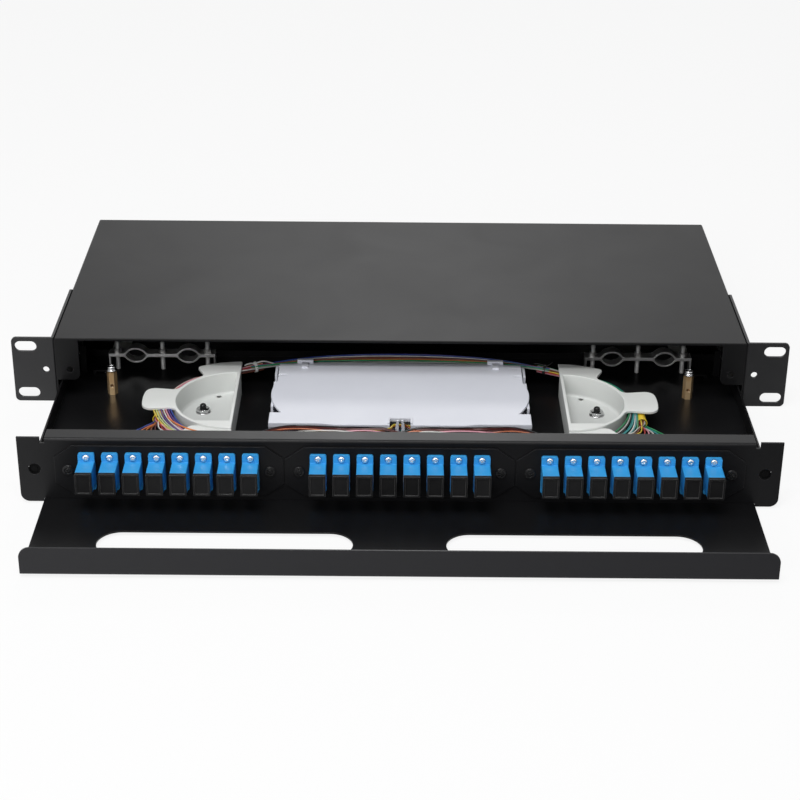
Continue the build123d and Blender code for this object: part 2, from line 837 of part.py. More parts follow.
def make_spool_studs():
    """Threaded studs pressed into the tray's floor."""
    stud = rod_z(m4_shank, *spool_stud_place(), tray_bottom, tray_floor + spool_stud_height)
    return group(both_sides([fillet(stud.edges().sort_by(Axis.Z)[-1], spool_stud_round)]))


def nut(across_flats, shank, x, y, z):
    """A hexagon nut on a stud."""
    outline = hexagon(across_flats) - Circle(shank + hole_gap)
    return Pos(x, y, 0) * flat_sheet(outline, z, nut_thickness)


def make_spool_nuts():
    """Nuts that hold the spools down."""
    seat = tray_floor + spool_floor
    return group(both_sides([nut(spool_nut_across, m4_shank, *spool_stud_place(), seat)]))


# Splice tray

def make_splice_tray_base():
    """The splice tray: walls with fibre entries, curved guides and the hinge cheeks with their pins."""
    depth = splice_rear - splice_front
    middle = Pos(0, at(tray_middle))
    outline = middle * RectangleRounded(splice_width, depth, splice_wall)
    hollow = middle * Rectangle(splice_width - 2 * splice_wall, depth - 2 * splice_wall)
    tray = flat_sheet(outline, tray_floor, splice_height)
    tray -= flat_sheet(hollow, tray_floor + splice_floor, splice_height)
    sill = tray_floor + splice_height / 2
    for y in (at(splice_front + 2 * splice_entry), at(splice_rear - 2 * splice_entry)):
        tray -= block((-splice_half, splice_half), (y - splice_entry / 2, y + splice_entry / 2), (sill, splice_top))
    ring = Circle(splice_guide_radius) - Circle(splice_guide_radius - splice_wall)
    outer_half = Rectangle(2 * splice_guide_radius, 4 * splice_guide_radius, align=(Align.MIN, Align.CENTER))
    guide = Pos(splice_guide_x, at(tray_middle)) * (ring & outer_half)
    tray += both_sides([flat_sheet(guide, tray_floor + splice_floor, splice_guide_height)])
    gate = (splice_half - splice_cheek, at(splice_front) + splice_wall)
    tray -= block((-gate[0], gate[0]), (at(splice_front), gate[1]), (splice_sill_top, splice_top))
    tray += both_sides([latch_prong(), *hinge_cheeks()])
    screw = rod_z(m3_shank + hole_gap, splice_screw_x, at(tray_middle), tray_floor, tray_floor + splice_floor)
    return tray - both_sides([screw])


def latch_prong():
    """The right springy prong that stands on the tray's sill in the cover's notch."""
    low, high = splice_sill_top, cover_top + latch_prong_rise
    inner, root = latch_prong_gap, latch_prong_gap + latch_prong_root
    middle = (inner + latch_prong_bulge, (low + high) / 2)
    outline = Polyline((root, high), (inner, high), (inner, low), (root, low))
    outline += ThreePointArc((root, low), middle, (root, high))
    return front_sheet(make_face(outline), at(splice_front), splice_wall)


def hinge_cheeks():
    """The two cheeks and the pin of the right hinge, moulded on the tray's rear wall."""
    reach = hinge_ring_width / 2 + hinge_cheek_gap
    y = (at(splice_rear), at(hinge_depth) + hinge_pin)
    z = (hinge_z - 2 * hinge_pin, hinge_z + hinge_pin)
    cheeks = [block((hinge_x + low, hinge_x + low + hinge_cheek), y, z) for low in (-reach - hinge_cheek, reach)]
    return [*cheeks, rod_x(hinge_pin, at(hinge_depth), hinge_z, hinge_x - reach, hinge_x + reach)]


def make_splice_screws():
    """Screws that hold the splice tray to the drawer's floor."""
    seat = tray_floor + splice_floor
    y = at(tray_middle)
    screw = rod_z(m3_shank, splice_screw_x, y, tray_bottom, seat)
    return group(both_sides([screw + rod_z(m3_head, splice_screw_x, y, seat, seat + m3_head_height)]))


def comb_rows():
    """Y of the comb's slots."""
    return [at(tray_middle) + (i - (comb_slots - 1) / 2) * comb_pitch for i in range(comb_slots)]


def make_splice_comb():
    """The comb that holds the splice sleeves."""
    bottom = tray_floor + splice_floor
    half = comb_slots * comb_pitch / 2 + comb_pitch - comb_slot_width / 2
    comb = block(across(comb_length), (at(tray_middle) - half, at(tray_middle) + half), (bottom, bottom + comb_height))
    top = (bottom + comb_height - comb_slot_depth, bottom + comb_height)
    return comb - [block(across(comb_length), (y - comb_slot_width / 2, y + comb_slot_width / 2), top)
                   for y in comb_rows()]


def make_splice_sleeves():
    """Splice sleeves, two in each slot of the comb."""
    low = tray_floor + splice_floor + comb_height - comb_slot_depth + sleeve_radius + fit_gap / 2
    step = 2 * sleeve_radius + fit_gap / 2
    ends = across(sleeve_length)
    return group([rod_x(sleeve_radius, y, z, *ends) for y in comb_rows() for z in (low, low + step)])


def cover_front_points():
    """The right half of the cover's front edge seen from above, from its end to the middle."""
    front = at(splice_front - cover_overhang)
    brow = front - cover_brow
    return [(splice_half, front), (cover_brow_half + cover_brow_run, front), (cover_brow_half, brow), (0, brow)]


def cover_outline():
    """The right half of the cover seen from above: a round end between a front strip and a rear strip."""
    rear = at(splice_rear)
    strip = at(splice_front - cover_overhang) + cover_front_strip
    side = splice_half + cover_bulge - cover_side_step
    waist = splice_half - cover_waist
    bow = rear + cover_bow
    shoulder = at(splice_rear - cover_bulge_start)
    bulge = (splice_half + cover_bulge, at(splice_rear - cover_bulge_middle))
    outline = ThreePointArc((0, bow), (side / 2, bow - cover_bow / 4), (side, rear))
    outline += Line((side, rear), (side, shoulder))
    outline += ThreePointArc((side, shoulder), bulge, (waist, strip))
    outline += Polyline((waist, strip), (splice_half, strip), *cover_front_points(), (0, bow))
    slit_y = at(splice_rear - cover_slit_back)
    slit = Pos(side, slit_y) * Rectangle(2 * cover_slit_length, cover_slit)
    return make_face(outline) - slit


def cover_skirt_outline():
    """The skirt below the right half of the cover's front edge, seen from above."""
    points = cover_front_points()
    strip = points[0][1] + cover_front_strip
    front_strip = make_face(Polyline((0, strip), (splice_half, strip), *points, (0, strip)))
    return front_strip - Pos(0, cover_skirt) * front_strip


def hinge_clip():
    """The raised clip above the right hinge, with a tongue that lies forward on the cover."""
    rear = at(hinge_depth)
    front = rear - hinge_clip_thickness
    clip = block((hinge_x - hinge_clip_half, hinge_x + hinge_clip_half), (front, rear),
                 (cover_bottom, cover_top + hinge_clip_rise))
    return clip + block((hinge_x - hinge_tongue_half, hinge_x + hinge_tongue_half), (front - hinge_tongue_reach, front),
                        (cover_bottom, cover_top + hinge_tongue_rise))


def make_splice_cover():
    """The hinged cover with a skirt and a framed latch notch in front, and two hinge rings behind."""
    half = flat_sheet(cover_outline(), cover_bottom, cover_thickness)
    top = half.faces().sort_by(Axis.Z)[-1]
    half = fillet(top.edges().filter_by(lambda edge: edge.center().X > cover_edge_round), cover_edge_round)
    half += flat_sheet(cover_skirt_outline(), cover_bottom - cover_skirt_drop, cover_skirt_drop)
    bore = hinge_pin + hinge_gap
    ring = bore + hinge_ring
    ends = (hinge_x - hinge_ring_width / 2, hinge_x + hinge_ring_width / 2)
    arm = block(ends, (at(splice_rear) - cover_thickness, at(hinge_depth)), (cover_bottom, cover_top))
    knuckle = arm + rod_x(ring, at(hinge_depth), hinge_z, *ends)
    knuckle += block(ends, (at(hinge_depth) - ring, at(hinge_depth) + ring), (hinge_z, cover_bottom))
    half += knuckle - rod_x(bore, at(hinge_depth), hinge_z, *ends)
    half += hinge_clip()
    brow = cover_front_points()[-1][1]
    back = brow + latch_notch_depth
    half += block((0, latch_notch_half + latch_frame), (brow + cover_edge_round, back + latch_frame),
                  (cover_bottom, cover_top + latch_frame_rise))
    half -= block((0, latch_notch_half), (brow, back),
                  (cover_bottom - cover_skirt_drop, cover_top + latch_frame_rise))
    return half + mirrored(half)


# Cable clamps and posts

def clamp_stud_places():
    """X of the right clamp's studs."""
    return [clamp_x + i * clamp_stud_spread for i in (-1, 0, 1)]


def eye(x, growth):
    """A clamp eye seen from the front, two arcs that meet in a point at each side."""
    arc = (eye_half_width ** 2 + eye_half_height ** 2) / (2 * eye_half_height)
    shift = arc - eye_half_height
    lens = Pos(0, shift) * Circle(arc + growth) & Pos(0, -shift) * Circle(arc + growth)
    return Pos(x, 0) * lens


def strip_outline(side):
    """A clamp strip seen from the front, its eyes bulging up for side 1 and down for side -1."""
    near = 0.01
    eyes = (-eye_offset, eye_offset)
    bar = Rectangle(clamp_length, 2 * clamp_sheet)
    for x in eyes:
        bar += eye(x, clamp_sheet)
    roots = bar.vertices().filter_by(lambda corner: abs(corner.X) < clamp_length / 2 - near)
    bar = fillet(roots.filter_by(lambda corner: abs(abs(corner.Y) - clamp_sheet) < near), eye_root_round)
    for x in eyes:
        bar -= eye(x, 0)
    align = Align.MIN if side > 0 else Align.MAX
    return bar & Rectangle(2 * clamp_length, 2 * clamp_lift, align=(Align.CENTER, align))


def make_clamp_strip(side):
    """The right clamp's upper strip for side 1, or the lower one with its two legs for side -1."""
    outline = strip_outline(side)
    if side < 0:
        leg = Rectangle(clamp_sheet, clamp_lift, align=(Align.MIN, Align.MAX))
        outline += Pos(-clamp_length / 2, 0) * leg
        outline += Pos(clamp_length / 2 - clamp_sheet, 0) * leg
    strip = front_sheet(Pos(clamp_x, clamp_z) * outline, at(clamp_depth - clamp_width / 2), clamp_width)
    span = (clamp_z - clamp_sheet, clamp_z + clamp_sheet)
    return strip - [rod_z(m3_shank + hole_gap, x, at(clamp_depth), *span) for x in clamp_stud_places()]


def make_clamp_studs():
    """Studs pressed into the tray's floor that hold the clamp strips."""
    top = tray_floor + clamp_stud_length
    return group(both_sides([rod_z(m3_shank, x, at(clamp_depth), tray_bottom, top) for x in clamp_stud_places()]))


def make_clamp_nuts():
    """Nuts on the clamp strips."""
    seat = clamp_z + clamp_sheet
    return group(both_sides([nut(clamp_nut_across, m3_shank, x, at(clamp_depth), seat) for x in clamp_stud_places()]))


def make_anchor_posts():
    """Hexagon posts, cross-drilled for a cable's strength member, screwed through the tray's floor."""
    post = Pos(post_x, at(post_depth), 0) * flat_sheet(hexagon(post_across), tray_floor, post_height)
    post += rod_z(m3_shank, post_x, at(post_depth), tray_bottom, tray_floor)
    post -= rod_y(post_cross_hole / 2, post_x, tray_floor + post_cross_lift, *[at(post_depth) + d
                                                                          for d in (-post_across, post_across)])
    post -= rod_z(m3_shank + hole_gap, post_x, at(post_depth), post_top - post_thread_depth, post_top)
    return group(both_sides([post]))


def make_anchor_screws():
    """Screws on the posts, each with a narrower washer on a wider one."""
    y = at(post_depth)
    seat = post_top + 2 * washer_thickness
    screw = rod_z(m3_shank, post_x, y, post_top - post_thread_depth + fit_gap, post_top)
    screw += rod_z(washer_radius, post_x, y, post_top, post_top + washer_thickness)
    screw += rod_z(washer_radius - washer_step, post_x, y, post_top + washer_thickness, seat)
    return group(both_sides([screw + rod_z(m3_head, post_x, y, seat, seat + m3_head_height)]))


# Fibre runs

def loose_radius(before, corner, after):
    """The largest easy bend at a corner of a route."""
    first, second = Vector(corner) - Vector(before), Vector(after) - Vector(corner)
    return 0.45 * min(first.length, second.length) / tan(radians(first.get_angle(second) / 2))


def tube(points, radii, radius):
    """A round tube along straight runs joined by tangent arcs."""
    path = FilletPolyline(*points, radius=radii)
    print("bend radii", [round(bend, 1) for bend in radii], "length", round(path.length, 1))
    return sweep(Plane(origin=path @ 0, z_dir=path % 0) * Circle(radius), path=path)


def leaving_point(distance):
    """A point of the right bundle, the given distance past the corner of its turn round the spool."""
    turn = radians(bundle_wrap)
    corner = spool_depth + bundle_reach * tan(turn / 2)
    return bundle_x - distance * sin(turn), at(corner + distance * cos(turn)), bundle_z


def tie_point(further=0.0):
    """Where the right bundle ends, in the cable tie, or a point further along its line."""
    return leaving_point(bundle_reach * tan(radians(bundle_wrap) / 2) + bundle_tail + further)


def bundle_points():
    """The right bundle's route round its spool, from the fan-out to the tie."""
    return [(bundle_x, at(trunk_depth + 2 * bundle_radius), port_z), (bundle_x, at(bundle_fall_start), port_z),
            (bundle_x, at(bundle_fall_end), bundle_z), leaving_point(0), tie_point()]


def make_pigtails():
    """The right side's pigtails: a stub from each boot into one trunk, and a branch to the bundle."""
    near_ports = [x for x in port_offsets if x > 0]
    ports = near_ports + [plate_pitch + x for x in port_offsets]
    ends = (min(ports) - 2 * fibre_radius, max(*ports, bundle_x) + 2 * fibre_radius)
    trunk = rod_x(bundle_radius, at(trunk_depth), port_z, *ends)
    trunk += [rod_y(fibre_radius, x, port_z, at(boot_end), at(trunk_depth)) for x in ports]
    branch = (at(trunk_depth), at(trunk_depth + 2 * bundle_radius))
    return trunk + rod_y(bundle_radius - hole_gap, bundle_x, port_z, *branch)


def make_bundle():
    """The right bundle of fibres round the spool."""
    route = bundle_points()
    bends = [loose_radius(*route[:3]), loose_radius(*route[1:4]), bundle_reach]
    return tube(route, bends, bundle_radius)


def rear_points():
    """The route from the right tie to the left one, bowed behind the splice tray."""
    half = [tie_point(), tie_point(bundle_tail / 2), *[(x, at(depth), z) for x, depth, z in rear_bow_points]]
    return half + [(-x, y, z) for x, y, z in reversed(half)]


def make_rear_bundle():
    """The fibres behind the splice tray, from tie to tie."""
    route = rear_points()
    bends = [loose_radius(*route[i:i + 3]) for i in range(len(route) - 2)]
    return tube(route, bends, bundle_radius)


def make_fan_out_sleeves():
    """Sleeves that gather the pigtails beside each spool."""
    y = (at(fan_out_sleeve_from), at(fan_out_sleeve_from + fan_out_sleeve_length))
    bore = bundle_radius + hole_gap
    sleeve = rod_y(bore + fan_out_sleeve_wall, bundle_x, bundle_z, *y) - rod_y(bore, bundle_x, bundle_z, *y)
    return group(both_sides([sleeve]))


def make_cable_tie():
    """The right cable tie: a band round the bundle with its head and a cut tail."""
    bore = bundle_radius + hole_gap
    ends = (hole_gap, hole_gap + tie_band_width)
    middle = (ends[0] + ends[1]) / 2
    tie = rod_x(bore + tie_band, 0, 0, *ends)
    tie += block((middle - tie_head / 2, middle + tie_head / 2), across(tie_head), (bore, bore + tie_head))
    tie += block(ends, across(tie_band), (bore, bore + tie_tail))
    tie -= rod_x(bore, 0, 0, ends[0] - tie_head, ends[1] + tie_head)
    return Pos(*tie_point()) * Rot(0, 0, bundle_wrap - 90) * tie


# All the pieces by name
pieces = {
    "top_cover": make_top_cover(),
    "base_plate": make_base_plate(),
    "rear_panel": make_rear_panel(),
    "cable_grommets": make_grommets(),
    "ear_screws": make_ear_screws(),
    "case_screws": make_case_screws(),
    "rail_rivets": make_rail_rivets(),
    "glide_strips": make_glide_strips(),
    "drawer_tray": make_drawer_tray(),
    "front_panel": make_front_panel(),
    "panel_rivets": make_panel_rivets(),
    "plate_push_rivets": make_push_rivets(),
    "spool_studs": make_spool_studs(),
    "spool_nuts": make_spool_nuts(),
    "splice_tray_base": make_splice_tray_base(),
    "splice_tray_screws": make_splice_screws(),
    "splice_comb": make_splice_comb(),
    "splice_sleeves": make_splice_sleeves(),
    "splice_tray_cover": make_splice_cover(),
    "clamp_studs": make_clamp_studs(),
    "clamp_nuts": make_clamp_nuts(),
    "anchor_posts": make_anchor_posts(),
    "anchor_screws": make_anchor_screws(),
    "fibre_bundle_rear": make_rear_bundle(),
    "fan_out_sleeves": make_fan_out_sleeves(),
}
paired = {
    "rack_ear": make_rack_ear(),
    "guide_rail": make_guide_rail(),
    "spool": make_spool(),
    "clamp_upper": make_clamp_strip(1),
    "clamp_lower": make_clamp_strip(-1),
    "pigtails": make_pigtails(),
    "fibre_bundle": make_bundle(),
    "cable_tie": make_cable_tie(),
}
for name, part in paired.items():
    pieces[name + "_right"] = part
    pieces[name + "_left"] = mirrored(part)
per_port = {
    "adapters": make_adapter(),
    "dust_caps": make_dust_cap(),
    "adapter_screws": make_adapter_screws(),
    "pigtail_plugs": make_pigtail_plug(),
}
for side, centre in zip(plate_names, plate_centres):
    pieces["adapter_plate_" + side] = make_adapter_plate(centre)
    for name, part in per_port.items():
        pieces[name + "_" + side] = at_ports(centre, part)

os.makedirs("parts", exist_ok=True)
for name, part in pieces.items():
    export_step(part, os.path.join("parts", name + ".step"))
print(len(pieces), "pieces written")
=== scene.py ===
from math import cos, pi, radians, sin, sqrt

import bpy
from mathutils import Matrix, Vector


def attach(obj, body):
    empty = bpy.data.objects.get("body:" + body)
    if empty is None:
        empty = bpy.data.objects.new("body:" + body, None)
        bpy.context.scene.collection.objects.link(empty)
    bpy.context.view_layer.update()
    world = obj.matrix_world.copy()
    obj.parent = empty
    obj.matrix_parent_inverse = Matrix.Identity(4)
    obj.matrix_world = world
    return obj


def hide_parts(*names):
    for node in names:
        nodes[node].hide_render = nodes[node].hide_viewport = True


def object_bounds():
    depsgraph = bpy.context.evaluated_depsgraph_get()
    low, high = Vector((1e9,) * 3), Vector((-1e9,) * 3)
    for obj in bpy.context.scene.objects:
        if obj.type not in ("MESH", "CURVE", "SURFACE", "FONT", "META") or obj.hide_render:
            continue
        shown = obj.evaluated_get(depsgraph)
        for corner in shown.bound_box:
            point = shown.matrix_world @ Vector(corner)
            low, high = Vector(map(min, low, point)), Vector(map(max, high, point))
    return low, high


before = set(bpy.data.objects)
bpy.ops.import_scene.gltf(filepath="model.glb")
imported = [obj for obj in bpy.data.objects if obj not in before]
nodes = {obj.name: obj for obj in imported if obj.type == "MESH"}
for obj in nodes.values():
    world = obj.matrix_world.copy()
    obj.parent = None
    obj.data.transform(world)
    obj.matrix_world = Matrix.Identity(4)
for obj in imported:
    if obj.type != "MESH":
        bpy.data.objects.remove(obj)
cad_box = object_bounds()

# Lengths are in millimetres, and turned into metres where they are used
MM = 0.001
hair = 0.01
squarely = 0.9

# Where the drawer and what it carries lie; depths count from the front of the drawer's panel
drawer_out = 128.0
both_sides = (-1, 1)
port_pitch = 13.15
ports_per_plate = 8
middle_port = (ports_per_plate - 1) / 2
plate_centres = (-130.0, 0.0, 130.0)
plate_names = ("left", "centre", "right")
spool_x = 100.0
spool_depth = 96.0
sleeve_x = 145.7
sleeve_front = 79.0
sleeve_back = 93.0
bundle_z = -8.5
tie_x = 92.1
tie_depth = 150.1


# Places on the object

def place(x, behind, z):
    """A point of the frame from X, the distance behind the drawer's panel and Z, in millimetres."""
    return Vector((x * MM, (behind - drawer_out) * MM, z * MM))


def upright(x, behind, z, roll=0.0):
    """Where a piece modelled upright stands."""
    return Matrix.Translation(place(x, behind, z)) @ Matrix.Rotation(roll, 4, "Z")


def facing_front(x, behind, z, roll):
    """Where a piece modelled upright lies with its head towards the front."""
    lying = Matrix.Rotation(pi / 2, 4, "X") @ Matrix.Rotation(roll, 4, "Z")
    return Matrix.Translation(place(x, behind, z)) @ lying


def facing_side(side, x, behind, z, roll):
    """Where a piece modelled upright lies with its head towards the left or the right."""
    turned = Matrix.Rotation(side * pi / 2, 4, "Y") @ Matrix.Rotation(roll, 4, "Z")
    return Matrix.Translation(place(side * x, behind, z)) @ turned


# Working by hand: selecting and starting a piece

def put_down_all():
    """Leaves edit mode and deselects everything."""
    if bpy.context.mode != "OBJECT":
        bpy.ops.object.mode_set(mode="OBJECT")
    bpy.ops.object.select_all(action="DESELECT")


def take_up(piece):
    """Makes one piece the selected and active one."""
    put_down_all()
    piece.select_set(True)
    bpy.context.view_layer.objects.active = piece


def settled():
    """The piece that was just added, with its place, turn and size fixed in its mesh."""
    piece = bpy.context.object
    take_up(piece)
    bpy.ops.object.transform_apply(location=True, rotation=True, scale=True)
    return piece


def bar(radius, low, high, sides):
    """A closed round bar between two heights, to be worked on."""
    put_down_all()
    bpy.ops.mesh.primitive_cylinder_add(vertices=sides, radius=radius * MM, depth=(high - low) * MM,
                                        location=(0, 0, (low + high) / 2 * MM))
    return settled()


def open_tube(radius, length, sides, turn):
    """A round tube without ends about the origin, turned from upright."""
    put_down_all()
    bpy.ops.mesh.primitive_cylinder_add(vertices=sides, radius=radius * MM, depth=length * MM,
                                        end_fill_type="NOTHING", rotation=turn)
    return settled()


def block(middle, size, turn=0.0):
    """A block about a point, turned about its upright axis."""
    put_down_all()
    bpy.ops.mesh.primitive_cube_add(size=1.0, location=[value * MM for value in middle],
                                    rotation=(0, 0, turn), scale=[value * MM for value in size])
    return settled()


def unpicked(piece):
    """The mesh of a piece that is taken up, with nothing on it selected."""
    take_up(piece)
    mesh = piece.data
    for parts in (mesh.vertices, mesh.edges, mesh.polygons):
        parts.foreach_set("select", [False] * len(parts))
    return mesh


def pick_faces(piece, test):
    """Goes into edit mode with the faces selected whose centre and normal pass the test."""
    for face in unpicked(piece).polygons:
        face.select = test(face.center, face.normal)
    bpy.context.tool_settings.mesh_select_mode = (False, False, True)
    bpy.ops.object.mode_set(mode="EDIT")


def pick_edges(piece, test):
    """Goes into edit mode with the edges selected whose two ends pass the test."""
    mesh = unpicked(piece)
    for edge in mesh.edges:
        first, second = (mesh.vertices[v].co for v in edge.vertices)
        edge.select = test(first, second)
    bpy.context.tool_settings.mesh_select_mode = (False, True, False)
    bpy.ops.object.mode_set(mode="EDIT")


def faces_up(centre, normal):
    """Picks the faces that look up."""
    return normal.z > squarely


def faces_down(centre, normal):
    """Picks the faces that look down."""
    return normal.z < -squarely


def level_edge(first, second):
    """Picks the edges that run level."""
    return abs(first.z - second.z) < hair * MM


def back_to_object():
    """Ends the work on a mesh."""
    bpy.ops.object.mode_set(mode="OBJECT")


# Working by hand: shaping, cutting and copying

def inset(width):
    """Sets the picked faces in from their edges."""
    bpy.ops.mesh.inset(thickness=width * MM)


def extrude(x=0.0, y=0.0, z=0.0):
    """Draws out what is picked by one step."""
    bpy.ops.mesh.extrude_region_move(TRANSFORM_OT_translate={"value": (x * MM, y * MM, z * MM)})


def widen(x=1.0, y=1.0, z=1.0):
    """Widens or narrows what is picked about the origin."""
    bpy.ops.transform.resize(value=(x, y, z), center_override=(0, 0, 0))


def round_edges(piece, test, width, steps):
    """Rounds the edges of a piece that pass the test."""
    pick_edges(piece, test)
    bpy.ops.mesh.bevel(offset=width * MM, segments=steps, affect="EDGES")
    back_to_object()


def modify(piece, kind, **settings):
    """Gives a piece a modifier with its settings, and fixes the result in the mesh."""
    take_up(piece)
    change = piece.modifiers.new(kind.lower(), kind)
    for setting, value in settings.items():
        setattr(change, setting, value)
    bpy.ops.object.modifier_apply(modifier=change.name)


def cut(piece, tool, way="DIFFERENCE"):
    """Cuts a piece with a tool, which is used up."""
    modify(piece, "BOOLEAN", operation=way, object=tool, solver="EXACT")
    bpy.data.objects.remove(tool)


def join(pieces, name):
    """One object from several, named."""
    put_down_all()
    for piece in pieces:
        piece.select_set(True)
    bpy.context.view_layer.objects.active = pieces[0]
    if len(pieces) > 1:
        bpy.ops.object.join()
    whole = bpy.context.view_layer.objects.active
    whole.name = name
    whole.data.name = name
    return whole


def set_out(pattern, name, spots):
    """Copies of a modelled piece at the given spots, each with its own mesh, as one object."""
    copies = []
    for spot in spots:
        one = pattern.copy()
        one.data = pattern.data.copy()
        one.data.transform(spot)
        bpy.context.collection.objects.link(one)
        copies.append(one)
    bpy.data.objects.remove(pattern)
    return join(copies, name)


def finished(piece, body, material, slot, *stands_for, angle=30):
    """Gives a piece its finish and its body, and hides the CAD nodes that it stands for."""
    take_up(piece)
    bpy.ops.object.transform_apply(location=True, rotation=True, scale=True)
    bpy.ops.object.shade_smooth_by_angle(angle=radians(angle))
    piece.data.materials.clear()
    piece.data.materials.append(material)
    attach(piece, body)
    if stands_for:
        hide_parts(*stands_for)


# Effects that several finishes share

white = (1.0, 1.0, 1.0, 1.0)

# Where a node that mixes colours has its factor, its two colours and its result
factor = 0
first_colour = 6
second_colour = 7
mixed = 2


def shade_of(colour):
    """A colour as a socket takes it."""
    return (*colour, 1.0)


def new_group(name, inputs, outputs):
    """An empty effect with its inputs and outputs."""
    group = bpy.data.node_groups.new(name, "ShaderNodeTree")
    for label, kind, value in inputs:
        socket = group.interface.new_socket(label, in_out="INPUT", socket_type="NodeSocket" + kind)
        socket.default_value = value
    for label, kind in outputs:
        group.interface.new_socket(label, in_out="OUTPUT", socket_type="NodeSocket" + kind)
    return group, group.nodes.new("NodeGroupInput"), group.nodes.new("NodeGroupOutput")


def set_inputs(node, **values):
    """Puts values on the inputs of a node that are named."""
    for label, value in values.items():
        node.inputs[label.replace("_", " ")].default_value = value
    return node


def add_node(tree, kind, **values):
    """A node of a kind, with its values."""
    return set_inputs(tree.nodes.new("ShaderNode" + kind), **values)


def put_group(tree, group, **values):
    """A shared effect in a finish, with its own values."""
    node = add_node(tree, "Group")
    node.node_tree = group
    return set_inputs(node, **values)


def calculation(tree, kind, operation):
    """A node that works one thing out of two."""
    node = add_node(tree, kind)
    node.operation = operation
    return node


def colour_mix(tree, blend="MIX"):
    """A node that mixes two colours."""
    node = add_node(tree, "Mix")
    node.data_type = "RGBA"
    node.blend_type = blend
    return node


def wire(tree, *wires):
    """Joins outputs to inputs, each told by its node and its label or place."""
    for source, output, target, taken in wires:
        tree.links.new(source.outputs[output], target.inputs[taken])


def clouds(tree, given, low, high, **values):
    """Soft clouds over the surface, spread between two of their levels."""
    where = add_node(tree, "TexCoord")
    cloud = add_node(tree, "TexNoise", **values)
    spread = add_node(tree, "MapRange", From_Min=low, From_Max=high)
    wire(tree, (where, "Object", cloud, "Vector"), (given, "Scale", cloud, "Scale"),
         (cloud, "Fac", spread, "Value"))
    return spread


def along_axis(tree, axis, start, end, **values):
    """A value that runs from one place to another along an axis."""
    where = add_node(tree, "TexCoord")
    axes = add_node(tree, "SeparateXYZ")
    run = add_node(tree, "MapRange", From_Min=start, From_Max=end, **values)
    wire(tree, (where, "Object", axes, "Vector"), (axes, axis, run, "Value"))
    return run


def mottle_group():
    """Two shades that drift into each other over the surface."""
    group, given, made = new_group(
        "Mottle", (("Scale", "Float", 40.0), ("First", "Color", white), ("Second", "Color", white)),
        (("Colour", "Color"),))
    spread = clouds(group, given, low=0.36, high=0.64, Detail=5.0, Roughness=0.62)
    blend = colour_mix(group)
    wire(group, (spread, "Result", blend, factor), (given, "First", blend, first_colour),
         (given, "Second", blend, second_colour), (blend, mixed, made, "Colour"))
    return group


def handling_group():
    """Gloss that changes where hands and cloths have been."""
    group, given, made = new_group(
        "Handling", (("Scale", "Float", 18.0), ("Smooth", "Float", 0.3), ("Dull", "Float", 0.45)),
        (("Roughness", "Float"),))
    spread = clouds(group, given, low=0.32, high=0.68, Detail=6.0, Distortion=0.8)
    wire(group, (given, "Smooth", spread, "To Min"), (given, "Dull", spread, "To Max"),
         (spread, "Result", made, "Roughness"))
    return group


def grain_group():
    """Fine unevenness of a coat or a moulding, drawn out where the metal is brushed."""
    group, given, made = new_group(
        "Fine grain", (("Scale", "Float", 900.0), ("Stretch", "Vector", (1, 1, 1))), (("Height", "Float"),))
    where = add_node(group, "TexCoord")
    drawn = calculation(group, "VectorMath", "MULTIPLY")
    peel = add_node(group, "TexNoise", Detail=2.5)
    wire(group, (where, "Object", drawn, 0), (given, "Stretch", drawn, 1), (drawn, "Vector", peel, "Vector"),
         (given, "Scale", peel, "Scale"), (peel, "Fac", made, "Height"))
    return group


def soft_edge_group():
    """The small round that every real edge has, and a mask of where it lies."""
    group, given, made = new_group(
        "Soft edge", (("Radius", "Float", 0.3 * MM),), (("Normal", "Vector"), ("Edge", "Float")))
    rounded = add_node(group, "Bevel")
    rounded.samples = 4
    flat = add_node(group, "NewGeometry")
    agree = calculation(group, "VectorMath", "DOT_PRODUCT")
    spread = add_node(group, "MapRange", From_Min=0.98, From_Max=0.8)
    wire(group, (given, "Radius", rounded, "Radius"), (rounded, "Normal", agree, 0),
         (flat, "Normal", agree, 1), (agree, "Value", spread, "Value"), (rounded, "Normal", made, "Normal"),
         (spread, "Result", made, "Edge"))
    return group


mottle = mottle_group()
handling = handling_group()
fine_grain = grain_group()
soft_edge = soft_edge_group()


def new_finish(name):
    """An empty finish: its material, its nodes and its shader."""
    material = bpy.data.materials.new(name)
    material.use_nodes = True
    tree = material.node_tree
    return material, tree, tree.nodes["Principled BSDF"]


def surface(name, first, second, patch, gloss, grain, stretch=(1.0, 1.0, 1.0), edge=0.3, edge_wear_and_highlight=None,
            metallic=0.0, specular=0.5):
    """A finish: two shades in patches, gloss from smooth to dull, grain's scale and depth, and lighter
    rounded edges that are partly wear and partly painted highlight.
    """
    smooth, dull = gloss
    scale, depth = grain
    material, tree, shader = new_finish(name)
    set_inputs(shader, Metallic=metallic, Specular_IOR_Level=specular)
    shades = put_group(tree, mottle, Scale=patch, First=shade_of(first), Second=shade_of(second))
    sheen = put_group(tree, handling, Smooth=smooth, Dull=dull)
    texture = put_group(tree, fine_grain, Scale=scale, Stretch=stretch)
    rim = put_group(tree, soft_edge, Radius=edge * MM)
    bump = add_node(tree, "Bump", Strength=0.6, Distance=depth * MM)
    wire(tree, (texture, "Height", bump, "Height"), (rim, "Normal", bump, "Normal"),
         (bump, "Normal", shader, "Normal"), (sheen, "Roughness", shader, "Roughness"))
    # Edges take a lighter shade: partly wear, partly a painted highlight along them.
    if edge_wear_and_highlight:
        blend = colour_mix(tree)
        blend.inputs[second_colour].default_value = shade_of(edge_wear_and_highlight)
        wire(tree, (rim, "Edge", blend, factor), (shades, "Colour", blend, first_colour),
             (blend, mixed, shader, "Base Color"))
    else:
        wire(tree, (shades, "Colour", shader, "Base Color"))
    return material


# Finishes of the sheet metal and the fasteners

